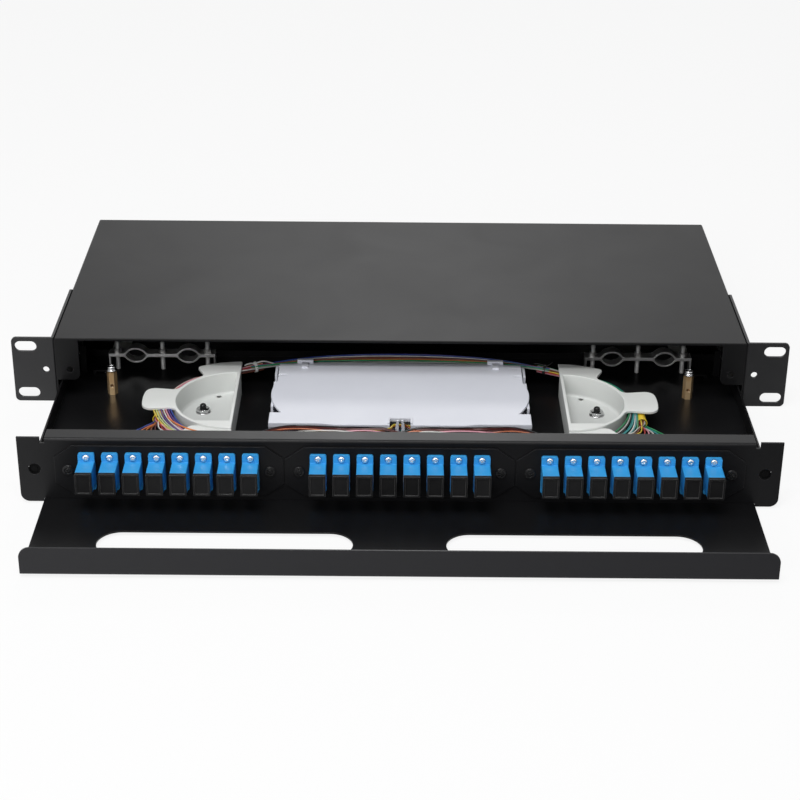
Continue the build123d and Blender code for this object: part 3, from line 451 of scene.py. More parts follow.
along_x = (0.12, 1.0, 1.0)
along_y = (1.0, 0.1, 1.0)
round_z = (0.15, 0.15, 1.0)
case_coat = surface(
    "satin black case coat", (0.006, 0.006, 0.0064), (0.0076, 0.0076, 0.008), patch=30, gloss=(0.37, 0.41),
    grain=(1500, 0.05), edge=0.5, edge_wear_and_highlight=(0.03, 0.03, 0.032), specular=0.13)
tray_coat = surface(
    "black tray coat", (0.0042, 0.0042, 0.0047), (0.0055, 0.0055, 0.006), patch=30, gloss=(0.29, 0.34),
    grain=(1300, 0.03), edge=0.2, edge_wear_and_highlight=(0.014, 0.014, 0.015), specular=0.19)
panel_coat = surface(
    "black panel coat", (0.0055, 0.0055, 0.0062), (0.0072, 0.0072, 0.008), patch=34, gloss=(0.29, 0.34),
    grain=(1500, 0.05), edge=0.45, edge_wear_and_highlight=(0.03, 0.03, 0.032), specular=0.16)
ear_coat = surface(
    "charcoal ear coat", (0.014, 0.014, 0.015), (0.018, 0.018, 0.019), patch=34, gloss=(0.36, 0.42),
    grain=(1500, 0.05), edge=0.5, edge_wear_and_highlight=(0.05, 0.05, 0.052), specular=0.26)
black_oxide = surface(
    "blackened screw", (0.014, 0.014, 0.015), (0.024, 0.024, 0.025), patch=300, gloss=(0.32, 0.45),
    grain=(2500, 0.02), edge=0.15, edge_wear_and_highlight=(0.08, 0.08, 0.08))
zinc = surface(
    "zinc plated strip", (0.62, 0.62, 0.615), (0.72, 0.72, 0.715), patch=70, gloss=(0.28, 0.38),
    grain=(900, 0.03), stretch=along_x, edge_wear_and_highlight=(0.95, 0.95, 0.95), metallic=0.95)
zinc_dark = surface(
    "zinc plated rail", (0.36, 0.36, 0.355), (0.46, 0.46, 0.455), patch=70, gloss=(0.34, 0.5),
    grain=(900, 0.03), stretch=along_y, edge=0.25, edge_wear_and_highlight=(0.6, 0.6, 0.6), metallic=1.0)
bright_stud = surface(
    "plated stud", (0.52, 0.52, 0.515), (0.62, 0.62, 0.615), patch=300, gloss=(0.26, 0.36),
    grain=(2500, 0.01), edge=0.08, metallic=0.5)
bright = surface(
    "bright nickel screw", (0.72, 0.73, 0.74), (0.82, 0.82, 0.83), patch=400, gloss=(0.14, 0.24),
    grain=(3000, 0.01), edge=0.08, metallic=1.0)
brass = surface(
    "turned brass", (0.86, 0.55, 0.27), (0.95, 0.68, 0.38), patch=120, gloss=(0.16, 0.26),
    grain=(1500, 0.02), stretch=round_z, edge=0.35, edge_wear_and_highlight=(1.0, 0.84, 0.58), metallic=0.7)
# Nickel painted darker on its flats than the metal is, a painted shade, with lighter edges as a painted
# highlight.
shaded_nickel = surface(
    "nickel nut with painted shade", (0.46, 0.46, 0.465), (0.58, 0.58, 0.585), patch=300, gloss=(0.12, 0.22),
    grain=(2500, 0.01), edge=0.22, edge_wear_and_highlight=(0.95, 0.95, 0.95), metallic=1.0)

# Finishes of the mouldings

sky_blue = surface(
    "sky blue moulding", (0.030, 0.315, 0.70), (0.038, 0.355, 0.76), patch=90, gloss=(0.34, 0.46),
    grain=(1800, 0.03), edge=0.25, edge_wear_and_highlight=(0.12, 0.48, 0.90))
cap_black = surface(
    "soft black cap", (0.005, 0.005, 0.0055), (0.0075, 0.0075, 0.008), patch=160, gloss=(0.46, 0.58),
    grain=(2200, 0.03), edge=0.42, edge_wear_and_highlight=(0.11, 0.11, 0.11), specular=0.2)
pin_black = surface(
    "black pin", (0.004, 0.004, 0.0045), (0.007, 0.007, 0.0075), patch=200, gloss=(0.22, 0.32),
    grain=(2500, 0.02), edge=0.2, edge_wear_and_highlight=(0.04, 0.04, 0.04), specular=0.3)
# Near black and dull, so that the plunger also stands in for the shade in the ear's hole: painted shade.
plunger_as_hole_shade = surface(
    "dull black plunger", (0.0018, 0.0018, 0.002), (0.003, 0.003, 0.0033), patch=200, gloss=(0.5, 0.62),
    grain=(2500, 0.02), edge=0.15, edge_wear_and_highlight=(0.02, 0.02, 0.02), specular=0.06)
spool_white = surface(
    "off white moulding", (0.735, 0.75, 0.725), (0.77, 0.785, 0.765), patch=26, gloss=(0.38, 0.48),
    grain=(1300, 0.04), edge=0.4, edge_wear_and_highlight=(0.84, 0.86, 0.84))
lid_white = surface(
    "cool white moulding", (0.72, 0.735, 0.80), (0.745, 0.76, 0.825), patch=20, gloss=(0.38, 0.46),
    grain=(1100, 0.04), edge=0.4, edge_wear_and_highlight=(0.82, 0.84, 0.90))
plug_blue = surface(
    "plug moulding", (0.018, 0.17, 0.52), (0.024, 0.21, 0.58), patch=120, gloss=(0.36, 0.5),
    grain=(2000, 0.02), edge=0.2)
rubber = surface(
    "black rubber", (0.012, 0.012, 0.012), (0.02, 0.02, 0.02), patch=80, gloss=(0.6, 0.75),
    grain=(1600, 0.06), edge=0.4)
glide = surface(
    "slippery strip", (0.66, 0.66, 0.62), (0.74, 0.74, 0.70), patch=60, gloss=(0.3, 0.42),
    grain=(1400, 0.02), edge=0.15)
comb_grey = surface(
    "comb moulding", (0.62, 0.63, 0.64), (0.68, 0.69, 0.70), patch=60, gloss=(0.4, 0.5),
    grain=(1400, 0.03))
tie_moulding = dict(patch=90, gloss=(0.34, 0.46), grain=(2200, 0.02), edge=0.15)
tie_white = surface("white tie", (0.82, 0.82, 0.80), (0.87, 0.87, 0.85), **tie_moulding)
tie_dark = surface("dark tie", (0.016, 0.016, 0.017), (0.024, 0.024, 0.025), **tie_moulding)
sleeve_yellow = surface(
    "yellow sleeve", (0.80, 0.55, 0.035), (0.88, 0.64, 0.05), patch=140, gloss=(0.36, 0.5),
    grain=(1800, 0.03), edge=0.15)
splice_clear = surface(
    "shrunk sleeve", (0.70, 0.72, 0.74), (0.78, 0.79, 0.80), patch=200, gloss=(0.14, 0.24),
    grain=(1500, 0.02), edge=0.1)
set_inputs(splice_clear.node_tree.nodes["Principled BSDF"], Transmission_Weight=0.5)


def painted_light_along(material, axis, start, end, shade):
    """Takes a finish over to another shade between two places along an axis, to paint light or shade there.
    """
    tree = material.node_tree
    shader = tree.nodes["Principled BSDF"]
    before = shader.inputs["Base Color"].links[0].from_socket
    mask = along_axis(tree, axis, start * MM, end * MM)
    blend = colour_mix(tree)
    blend.inputs[second_colour].default_value = shade_of(shade)
    tree.links.new(before, blend.inputs[first_colour])
    wire(tree, (mask, "Result", blend, factor), (blend, mixed, shader, "Base Color"))


# The front face of the pull lip is painted lighter than the rest of the tray: painted light standing in for
# the light that falls on it.
lip_back = -206.2
lip_front = -206.8
spool_rim = -4.5
spool_floor = -17.0
painted_light_along(tray_coat, "Y", lip_back, lip_front, shade=(0.016, 0.016, 0.018))
# The spools are painted darker from their rim down to their floor: painted shade in their hollow.
painted_light_along(spool_white, "Z", spool_rim, spool_floor, shade=(0.62, 0.635, 0.62))


def fibre_finish():
    """Coloured jackets: each fibre's colour is on its mesh, and fine unevenness lies over it."""
    material, tree, shader = new_finish("coloured fibre jacket")
    dye = add_node(tree, "Attribute")
    dye.attribute_name = "jacket_colour"
    fade = put_group(tree, mottle, Scale=160.0, First=white, Second=(0.84, 0.84, 0.84, 1.0))
    tint = colour_mix(tree, "MULTIPLY")
    tint.inputs[factor].default_value = 1.0
    gloss = put_group(tree, handling, Scale=120.0, Smooth=0.3, Dull=0.44)
    texture = put_group(tree, fine_grain, Scale=2600.0)
    bump = add_node(tree, "Bump", Strength=0.4, Distance=0.02 * MM)
    wire(tree, (dye, "Color", tint, first_colour), (fade, "Colour", tint, second_colour),
         (tint, mixed, shader, "Base Color"), (gloss, "Roughness", shader, "Roughness"),
         (texture, "Height", bump, "Height"), (bump, "Normal", shader, "Normal"))
    return material


def on_plates(name):
    """The names of a kind of node on the three adapter plates."""
    return [f"{name}_{plate}" for plate in plate_names]


fibre_jacket = fibre_finish()

# The nodes that no piece modelled here stands for
node_finish = {
    case_coat: ("top_cover", "base_plate", "rear_panel"),
    tray_coat: ("drawer_tray",),
    ear_coat: ("rack_ear_left", "rack_ear_right"),
    panel_coat: ("front_panel", *on_plates("adapter_plate")),
    zinc: ("clamp_upper_left", "clamp_upper_right", "clamp_lower_left", "clamp_lower_right",
           "splice_tray_screws"),
    zinc_dark: ("guide_rail_left", "guide_rail_right", "rail_rivets", "panel_rivets"),
    brass: ("anchor_posts",),
    sky_blue: on_plates("adapters"),
    plug_blue: on_plates("pigtail_plugs"),
    cap_black: on_plates("dust_caps"),
    pin_black: ("spool_studs",),
    spool_white: ("spool_left", "spool_right"),
    lid_white: ("splice_tray_base", "splice_tray_cover"),
    comb_grey: ("splice_comb",),
    splice_clear: ("splice_sleeves",),
    rubber: ("cable_grommets",),
    glide: ("glide_strips",),
}
for finish, names in node_finish.items():
    for name in names:
        mesh = nodes[name].data
        mesh.materials.clear()
        mesh.materials.append(finish)


# Camera, floor and light

def build_camera():
    """Stands where the photograph was taken from."""
    stand = Vector((-2.917, -1064.809, 518.771)) * MM
    looks_aside = -0.156
    looks_down = 26.895
    leans = 0.527
    lens = bpy.data.cameras.new("camera")
    lens.lens = 85.405
    lens.sensor_width = 36.0
    lens.shift_y = 0.0034
    lens.clip_start = 0.02
    camera = bpy.data.objects.new("camera", lens)
    bpy.context.collection.objects.link(camera)
    turned = Matrix.Rotation(radians(looks_aside), 4, "Z")
    tipped = Matrix.Rotation(radians(90 - looks_down), 4, "X")
    rolled = Matrix.Rotation(radians(leans), 4, "Z")
    camera.matrix_world = Matrix.Translation(stand) @ turned @ tipped @ rolled
    bpy.context.scene.camera = camera


def seen_rays(tree):
    """A mask of the rays that look at a background: from the camera, in gloss and through clear plastic."""
    path = add_node(tree, "LightPath")
    either = calculation(tree, "Math", "MAXIMUM")
    any_of = calculation(tree, "Math", "MAXIMUM")
    wire(tree, (path, "Is Camera Ray", either, 0), (path, "Is Glossy Ray", either, 1), (either, 0, any_of, 0),
         (path, "Is Transmission Ray", any_of, 1))
    return any_of


def mirrored_fall(tree):
    """White where the floor is seen, but brighter at the left than at the right where gloss mirrors it."""
    fall = along_axis(tree, "X", start=-0.35, end=0.35, To_Min=1.9, To_Max=0.2)
    path = add_node(tree, "LightPath")
    strength = add_node(tree, "Mix", A=1.0)
    wire(tree, (path, "Is Glossy Ray", strength, "Factor"), (fall, "Result", strength, "B"))
    return strength


def build_floor():
    """A pale floor that looks white and keeps the object's shadow."""
    floor_size = 12.0
    under_object = 0.2
    glow_share = 0.86
    put_down_all()
    bpy.ops.mesh.primitive_plane_add(size=floor_size, location=(0, 0, cad_box[0].z - under_object * MM))
    floor = bpy.context.object
    floor.name = "studio_floor"
    material, tree, shader = new_finish("studio floor")
    set_inputs(shader, Base_Color=(0.9, 0.9, 0.9, 1.0), Roughness=0.9, Specular_IOR_Level=0.0)
    glow = add_node(tree, "Emission")
    share = calculation(tree, "Math", "MULTIPLY")
    share.inputs[1].default_value = glow_share
    blend = add_node(tree, "MixShader")
    wire(tree, (mirrored_fall(tree), "Result", glow, "Strength"), (seen_rays(tree), 0, share, 0),
         (share, 0, blend, 0), (shader, 0, blend, 1), (glow, 0, blend, 2),
         (blend, 0, tree.nodes["Material Output"], "Surface"))
    floor.data.materials.append(material)


def build_world():
    """Soft light from all round, with a white background where it is looked at."""
    world = bpy.data.worlds.new("studio")
    bpy.context.scene.world = world
    world.use_nodes = True
    tree = world.node_tree
    tree.nodes.clear()
    light = add_node(tree, "Background", Color=(0.96, 0.98, 1.0, 1.0), Strength=0.17)
    seen = add_node(tree, "Background", Color=white, Strength=1.0)
    blend = add_node(tree, "MixShader")
    out = add_node(tree, "OutputWorld")
    wire(tree, (seen_rays(tree), 0, blend, 0), (light, 0, blend, 1), (seen, 0, blend, 2),
         (blend, 0, out, "Surface"))


def soft_box(name, spot, aim, width, height, power):
    """A lamp with a soft face, turned to what it lights; its sizes are in metres."""
    lamp = bpy.data.lights.new(name, "AREA")
    lamp.shape = "RECTANGLE"
    lamp.size = width
    lamp.size_y = height
    lamp.energy = power
    box = bpy.data.objects.new(name, lamp)
    bpy.context.collection.objects.link(box)
    box.location = spot
    box.rotation_euler = (Vector(aim) - Vector(spot)).to_track_quat("-Z", "Y").to_euler()


build_camera()
build_floor()
build_world()
soft_box("overhead strip", spot=(-0.1, -0.95, 1.55), aim=(0, -0.05, 0), width=1.2, height=0.16, power=11.5)
soft_box("overhead soft box", spot=(-0.35, -0.4, 1.7), aim=(0, 0, 0), width=0.9, height=0.9, power=10.8)
soft_box("front soft box", spot=(-0.75, -1.95, 0.9), aim=(0, -0.1, 0), width=1.3, height=1.0, power=15.0)
soft_box("rear soft box", spot=(0.0, 2.4, 1.54), aim=(0, 0.05, 0), width=0.7, height=0.5, power=6.4)

# Fibres: one tube for each, along listed control points

# The black jacket stands in for shaded gaps among the fibres: painted shade.
jacket = {
    "blue": (0.02, 0.06, 0.34), "orange": (0.80, 0.22, 0.02), "green": (0.02, 0.28, 0.10),
    "brown": (0.22, 0.06, 0.025), "grey": (0.46, 0.49, 0.46), "white": (0.78, 0.78, 0.74),
    "red": (0.45, 0.02, 0.02), "black": (0.015, 0.015, 0.017), "yellow": (0.78, 0.60, 0.06),
    "violet": (0.12, 0.05, 0.28), "rose": (0.78, 0.36, 0.44), "aqua": (0.025, 0.27, 0.27),
    "lime": (0.60, 0.68, 0.24), "salmon": (0.66, 0.22, 0.12), "maroon": (0.085, 0.014, 0.012),
}
fibre_radius = 0.45
lane_step = 2 * fibre_radius
plug_end = 41.0

# In a tie some fibres lie inside and the others in a ring about them
tie_inside = 5
tie_outside = 11
inside_reach = 0.95
outside_reach = 1.9
tie_turn = radians(65)
sleeve_reach = 1.55

# Angle round the spool, distance of the nearest fibre from the spool's middle, width of the band, height
left_band = ((-84, 46.0, 6.0, -7.2), (-62, 45.6, 6.0, -6.6), (-42, 42.6, 9.6, -5.2),
             (-20, 40.3, 10.4, -4.5), (0, 39.7, 9.4, -5.07))
right_band = ((-84, 46.0, 7.0, -7.2), (-62, 46.0, 9.0, -6.4), (-42, 43.0, 10.5, -5.4),
              (-20, 40.3, 5.4, -5.3), (0, 39.4, 2.9, -5.3))

# Angle round the back of the spool, how far outside its lane a fibre lies there, and how far above
round_the_back = ((11, 1.4, -1.6), (27, 0.0, 0.0), (47, 0.0, -0.1), (66, 0.0, -1.8))
along_the_tie = (-7.0, 0.0, 5.0)


def fibre(points, colour):
    """One fibre along its control points, as a tube that carries its jacket's colour."""
    curve = bpy.data.curves.new("fibre", "CURVE")
    curve.dimensions = "3D"
    curve.bevel_depth = fibre_radius * MM
    curve.bevel_resolution = 1
    curve.use_fill_caps = True
    line = curve.splines.new("NURBS")
    line.points.add(len(points) - 1)
    for point, spot in zip(line.points, points):
        point.co = (*place(*spot), 1.0)
    line.order_u = 3
    line.use_endpoint_u = True
    line.resolution_u = 6
    strand = bpy.data.objects.new("fibre", curve)
    bpy.context.collection.objects.link(strand)
    take_up(strand)
    bpy.ops.object.convert(target="MESH")
    strand = bpy.context.object
    dye = strand.data.color_attributes.new("jacket_colour", "FLOAT_COLOR", "POINT")
    dye.data.foreach_set("color", [*shade_of(jacket[colour])] * len(strand.data.vertices))
    return strand


def on_side(side, points):
    """Control points for the right side, put on the side that is asked for."""
    return [(side * x, behind, z) for x, behind, z in points]


def beside_spool(side, reach, degrees, z):
    """A control point beside the spool, a little outside the line that the fibre takes."""
    half_a_step = radians(11)
    outside = reach / cos(half_a_step)
    turn = radians(degrees)
    return (side * (spool_x + outside * cos(turn)), spool_depth + outside * sin(turn), z)


def in_the_tie(lane):
    """Where a fibre lies in the tie, beside and above its middle."""
    if lane < tie_inside:
        turn = 2 * pi * lane / tie_inside
        return inside_reach * cos(turn), inside_reach * sin(turn)
    turn = 2 * pi * (lane - tie_inside) / tie_outside
    return outside_reach * cos(turn), outside_reach * sin(turn)


def to_the_tie(side, lane, reach, z):
    """Control points round the back of the spool, under its rear tab and through the tie."""
    inwards = -sin(tie_turn)
    backwards = cos(tie_turn)
    beside, above = in_the_tie(lane)
    x = tie_x + beside * backwards
    behind = tie_depth - beside * inwards
    points = []
    for degrees, further, higher in round_the_back:
        points.append(beside_spool(side, reach + further, degrees, z + higher))
    for along in along_the_tie:
        points.append((side * (x + along * inwards), behind + along * backwards, bundle_z + above))
    return points


def port_route(lane):
    """From a port of the middle plate along the backs of the plugs towards the right spool."""
    port = (lane + 0.5) * port_pitch
    return [(port, plug_end, 0.0), (port, 45.0, -0.2), (port + 3.0, 48.5, -2.4),
            (port + 14.0, 51.0, -5.6 - 0.3 * lane), (port * 0.4 + 44.0, 52.5, -7.2 - 0.4 * lane),
            (82.0, 50.5 - 0.5 * lane, -7.4 - 0.4 * lane)]


def tray_route(turn):
    """From a splice round the front of the splice tray and out of it towards the right spool."""
    inwards = 1.3 * turn
    splice = 92.0 + 6.0 * turn
    level = -10.2 - 0.6 * turn
    return [(-22.0, splice, -13.6), (-34.0, splice, -13.0), (-58.0 + inwards, 88.0 + inwards, -11.6),
            (-66.0 + inwards, 77.0, -11.0), (-50.0 + inwards, 69.6 + 0.5 * inwards, level),
            (-18.0, 68.8 + 0.4 * inwards, level), (20.0, 68.6 + 0.4 * inwards, level + 0.3),
            (46.0 - inwards, 68.0, level), (66.0, 60.5 - 0.4 * inwards, level + 0.6),
            (86.0, 52.0 - 0.4 * inwards, level + 1.2)]


def spool_fibres(side, band, colours):
    """The fibres that hug the spool: half go to the middle plate's ports, the rest into the splice tray."""
    to_ports = ports_per_plate // 2
    in_a_row = 4
    nearest = 39.8
    topmost = -7.0
    strands = []
    for lane, colour in enumerate(colours):
        start = port_route(lane) if lane < to_ports else tray_route(lane - to_ports)
        out = lane / (len(colours) - 1)
        lower = lane_step * (lane % 2) if side > 0 else 0.0
        points = on_side(side, start)
        for degrees, near, width, z in band:
            points.append(beside_spool(side, near + width * out, degrees, z - lower))
        reach = nearest + lane_step * (lane % in_a_row)
        points += to_the_tie(side, lane, reach, topmost - lane_step * (lane // in_a_row))
        strands.append(fibre(points, colour))
    return strands


def sleeve_route(lane, turn):
    """From a port of the right plate, fanned in to the yellow sleeve and through it."""
    port = plate_centres[2] + (lane - middle_port) * port_pitch
    beside = sleeve_reach * cos(turn)
    above = sleeve_reach * sin(turn)
    fan = sleeve_x + 2.5 * (lane - 3.3)
    run = 45.6 + 0.4 * abs(lane - 4.5)
    return [(port, plug_end, 0.0), (port, 43.8, -0.2), (port * 0.75 + fan * 0.25, run, -1.6),
            (port * 0.25 + fan * 0.75, run + 1.8, -2.4),
            (fan, 54.0 + 0.7 * (lane % 3), -3.4 - 0.4 * (lane % 2)),
            (fan * 0.55 + sleeve_x * 0.45, 64.0, -5.2 + 0.4 * above),
            (sleeve_x + 1.2 * beside, 74.0, bundle_z + 0.6 + above),
            (sleeve_x + beside, sleeve_front + 2.0, bundle_z + above),
            (sleeve_x + beside, sleeve_back + 2.0, bundle_z + above)]


def sleeve_fibres(side, shown, colours):
    """The fibres from the outer plate's ports through the sleeve; those shown lie on top at the back."""
    shown_reach, shown_step = 39.3, 0.92
    shown_z, shown_drop = -3.7, 0.35
    under_reach, under_z, under_step = 41.0, -6.0, 0.5
    strands = []
    for lane, colour in enumerate(colours):
        points = on_side(side, sleeve_route(lane, 2 * pi * (lane + 0.5) / len(colours)))
        if lane in shown:
            order = shown.index(lane)
            reach = shown_reach + shown_step * order
            z = shown_z - shown_drop * order
        else:
            reach = under_reach + under_step * (lane % 4)
            z = under_z - under_step * (lane % 3)
        points += to_the_tie(side, lane + ports_per_plate, reach, z)
        strands.append(fibre(points, colour))
    return strands


def crossing_fibre():
    """The orange fibre that leaves the splice tray's front and crosses the others at the left spool."""
    lane_in_tie = 7
    points = [(-20.0, 59.0, -7.4), (-50.0, 60.0, -7.4), (-80.0, 57.0, -7.2), (-104.0, 54.5, -6.4),
              (-118.0, 55.4, -5.0), (-127.0, 58.6, -4.1), (-133.5, 64.0, -3.9), (-139.0, 72.0, -4.4),
              beside_spool(-1, 44.0, -20, -5.6), beside_spool(-1, 43.0, 0, -6.3)]
    return fibre(points + to_the_tie(-1, lane_in_tie, 41.6, -8.8), "orange")


def row_fibres():
    """The fibres from spool to spool in front of the splice tray, in waves, with a dip at its latch."""
    # The black rows are painted shade: they stand in for the shaded gap under the lid's front edge.
    # Colour, depth, height and wave of each row
    rows = (("black", 61.3, -4.0, 0.1), ("maroon", 60.9, -4.7, 0.3), ("maroon", 60.5, -5.3, 0.3),
            ("maroon", 60.1, -5.7, 0.5), ("salmon", 59.8, -6.5, 1.7), ("black", 61.2, -5.6, 0.2),
            ("rose", 59.5, -6.8, 1.8), ("white", 59.1, -7.0, 1.8))
    across = (-72.0, -54.0, -37.0, -21.0, -9.0, 0.0, 9.0, 21.0, 37.0, 54.0, 72.0)
    brow_end = 40.0
    brow_step = 1.3
    latch_dip = 4.0
    sideways = 2.0
    wave_step = 1.3
    row_shift = 1.7
    strands = []
    for row, (colour, behind, z, wave) in enumerate(rows):
        points = [(-106.0, 49.0, -8.6), (-92.0, 53.5, -7.6)]
        for step, x in enumerate(across):
            beyond_brow = brow_step if abs(x) > brow_end else 0.0
            under_latch = latch_dip if x == 0.0 else 0.0
            height = z + wave * sin(wave_step * step + row_shift * row) - under_latch
            points.append((x + sideways * sin(row), behind + beyond_brow, height))
        points += [(92.0, 53.5, -7.6), (106.0, 49.0, -8.6)]
        strands.append(fibre(points, colour))
    return strands


def latch_fibres():
    """The fibres that go into the splice tray behind the prongs of its latch."""
    strands = []
    for way, colour, drop in ((-1, "yellow", 0.2), (-1, "orange", 0.9), (1, "brown", 0.6)):
        points = [(100.0, 50.0, -8.4), (70.0, 58.0, -7.2), (40.0, 60.6, -6.6 - drop),
                  (18.0, 60.2, -5.4 - drop), (7.6, 60.8, -4.8 - drop), (4.7, 63.4, -4.7 - drop),
                  (4.6, 66.2, -4.9 - drop), (2.4, 68.0, -5.2 - drop), (-2.0, 68.0, -5.6 - drop),
                  (-6.0, 69.4, -7.0 - drop), (-22.0, 71.5, -10.6), (-40.0, 73.0, -12.0)]
        strands.append(fibre(on_side(way, points), colour))
    return strands


def rear_fibres():
    """The fibres that bow behind the splice tray from tie to tie, side by side in a flat band."""
    colours = ("violet", "blue", "aqua", "white", "maroon", "red", "brown", "orange", "blue", "green", "grey")
    wave_height = 0.5
    wave_step = 2.3
    strands = []
    for lane, colour in enumerate(colours):
        away = (len(colours) - 1) / 2 - lane
        beside, above = in_the_tie(lane)
        wave = wave_height * sin(wave_step * lane)
        half = [(tie_x + 3.0, tie_depth - 1.4 + beside, bundle_z + above),
                (78.5, 153.4 + 0.45 * away, -7.1 + 0.5 * above),
                (56.0 + 2.0 * wave, 156.2 + 0.78 * away, -5.3 + 0.5 * wave),
                (22.0, 157.0 + 1.1 * away, -4.0 + 0.5 * wave)]
        other = [(-x, behind, z + 0.4 * wave) for x, behind, z in reversed(half)]
        strands.append(fibre(half + other, colour))
    return strands


left_near = ("blue", "violet", "rose", "white", "violet", "grey", "lime", "yellow")
left_far = ("rose", "red", "white", "maroon", "brown", "orange", "salmon", "blue")
# The black fibre here stands in for a shaded gap between the fibres: painted shade.
right_near = ("green", "white", "black", "aqua", "aqua", "white", "aqua", "green")
right_far = ("white", "brown", "yellow", "red", "rose", "white", "aqua", "green")
left_shown = (0, 1, 2, 3)
right_shown = (7, 6)
left_strands = spool_fibres(-1, left_band, left_near) + sleeve_fibres(-1, left_shown, left_far)
right_strands = spool_fibres(1, right_band, right_near) + sleeve_fibres(1, right_shown, right_far)
looms = {
    "left_fibres": (left_strands + [crossing_fibre()], "pigtails_left", "fibre_bundle_left"),
    "right_fibres": (right_strands, "pigtails_right", "fibre_bundle_right"),
    "rear_fibres": (rear_fibres(), "fibre_bundle_rear"),
    "front_fibres": (row_fibres() + latch_fibres(),),
}
for name, (strands, *stands_for) in looms.items():
    finished(join(strands, name), "drawer", fibre_jacket, "fibre_jacket", *stands_for, angle=60)


# Cross-head screws

def cross_screw(head_radius, head_height, shank_radius, shank_length, across):
    """A pan head with a cross recess, modelled upright with its seat at the origin."""
    crown = 0.55 * head_height
    blade_width = 0.26 * across
    blade_height = 1.1 * head_height
    blade_foot = 0.6 * head_height
    taper = 0.6
    head = bar(head_radius, 0.0, head_height, sides=28)
    round_edges(head, lambda a, b: min(a.z, b.z) > (head_height - hair) * MM, crown, steps=4)
    pick_faces(head, faces_down)
    inset(head_radius - shank_radius)
    extrude(z=-shank_length)
    back_to_object()
    for turn in (0, pi / 2):
        blade = block((0, 0, head_height), (across, blade_width, blade_height), turn)
        pick_faces(blade, lambda centre, normal: faces_down(centre, normal) and centre.z < blade_foot * MM)
        widen(taper, taper)
        back_to_object()
        cut(head, blade)
    return head


adapter_screw = dict(head_radius=1.9, head_height=1.3, shank_radius=1.05, shank_length=3.4, across=2.3)
adapter_screw_z = 9.0
adapter_face = -2.5
first_roll, port_roll, end_roll = 23, 41, 17
for plate, centre in zip(plate_names, plate_centres):
    spots = []
    for port in range(ports_per_plate):
        for end in both_sides:
            x = centre + (port - middle_port) * port_pitch
            roll = radians(first_roll + port_roll * port + end_roll * end)
            spots.append(facing_front(x, adapter_face, end * adapter_screw_z, roll))
    screws = set_out(cross_screw(**adapter_screw), f"cross_screws_{plate}", spots)
    finished(screws, "drawer", bright, "bright_screw", f"adapter_screws_{plate}")


def side_screws(name, screw, places, x, first_roll, next_roll):
    """The screws in both sides of the housing, each left at another turn."""
    spots = []
    for side in both_sides:
        for number, (behind, z) in enumerate(places):
            spots.append(facing_side(side, x, behind, z, radians(first_roll + next_roll * number)))
    screws = set_out(cross_screw(**screw), f"{name}_cross_screws", spots)
    finished(screws, "housing", black_oxide, "black_screw", f"{name}_screws")


# Depth and height of each screw
ear_places = ((146.0, 11.0), (146.0, -11.0), (190.0, 0.0))
case_places = ((223.0, -16.3), (263.0, -16.3), (303.0, -16.3), (322.5, 10.25), (322.5, -10.4))
ear_screw = dict(head_radius=3.6, head_height=1.9, shank_radius=2.0, shank_length=2.3, across=4.4)
case_screw = dict(head_radius=2.8, head_height=1.6, shank_radius=1.5, shank_length=1.9, across=3.4)
side_screws("ear", ear_screw, ear_places, x=216.5, first_roll=31, next_roll=53)
side_screws("case", case_screw, case_places, x=215.0, first_roll=12, next_roll=47)


# Push rivets, studs, nuts and plungers

def push_rivet():
    """A flat head with a ring and a pin pressed into its middle, cut across so that it can spread."""
    head_radius = 3.3
    head_height = 0.7
    head_round = 0.4
    dome_inset = 0.3
    dome_rise = 0.15
    slit_middle = (0, 0, 1.15)
    slit_size = (8.0, 0.55, 0.8)
    slit_turn = 0.3
    leg_inset = 1.4
    head_top = (head_height - hair) * MM
    rivet = bar(head_radius, 0.0, head_height, sides=32)
    round_edges(rivet, lambda a, b: min(a.z, b.z) > head_top, head_round, steps=3)
    pick_faces(rivet, lambda centre, normal: faces_up(centre, normal) and centre.z > head_top)
    # The ring, the well inside it and the pin in the well: how far in, and how far up
    for inwards, rise in ((0.35, 0.6), (0.7, -0.7), (0.3, 0.5)):
        inset(inwards)
        extrude(z=rise)
    inset(dome_inset)
    bpy.ops.transform.translate(value=(0, 0, dome_rise * MM))
    back_to_object()
    for turn in (slit_turn, slit_turn + pi / 2):
        cut(rivet, block(slit_middle, slit_size, turn))
    pick_faces(rivet, lambda centre, normal: faces_down(centre, normal) and centre.z < hair * MM)
    inset(leg_inset)
    # The leg swells behind the plate and ends in a point
    for length, grow in ((2.2, 1.04), (2.4, 0.6)):
        extrude(z=-length)
        widen(grow, grow)
    back_to_object()
    return rivet


push_rivet_x = 56.8
plate_face = -1.0
plate_roll, end_roll = 25, 40
spots = []
for number, centre in enumerate(plate_centres):
    for end in both_sides:
        roll = radians(plate_roll * number + end_roll * end)
        spots.append(facing_front(centre + end * push_rivet_x, plate_face, 0.0, roll))
rivets = set_out(push_rivet(), "push_rivets", spots)
finished(rivets, "drawer", pin_black, "black_plastic", "plate_push_rivets")


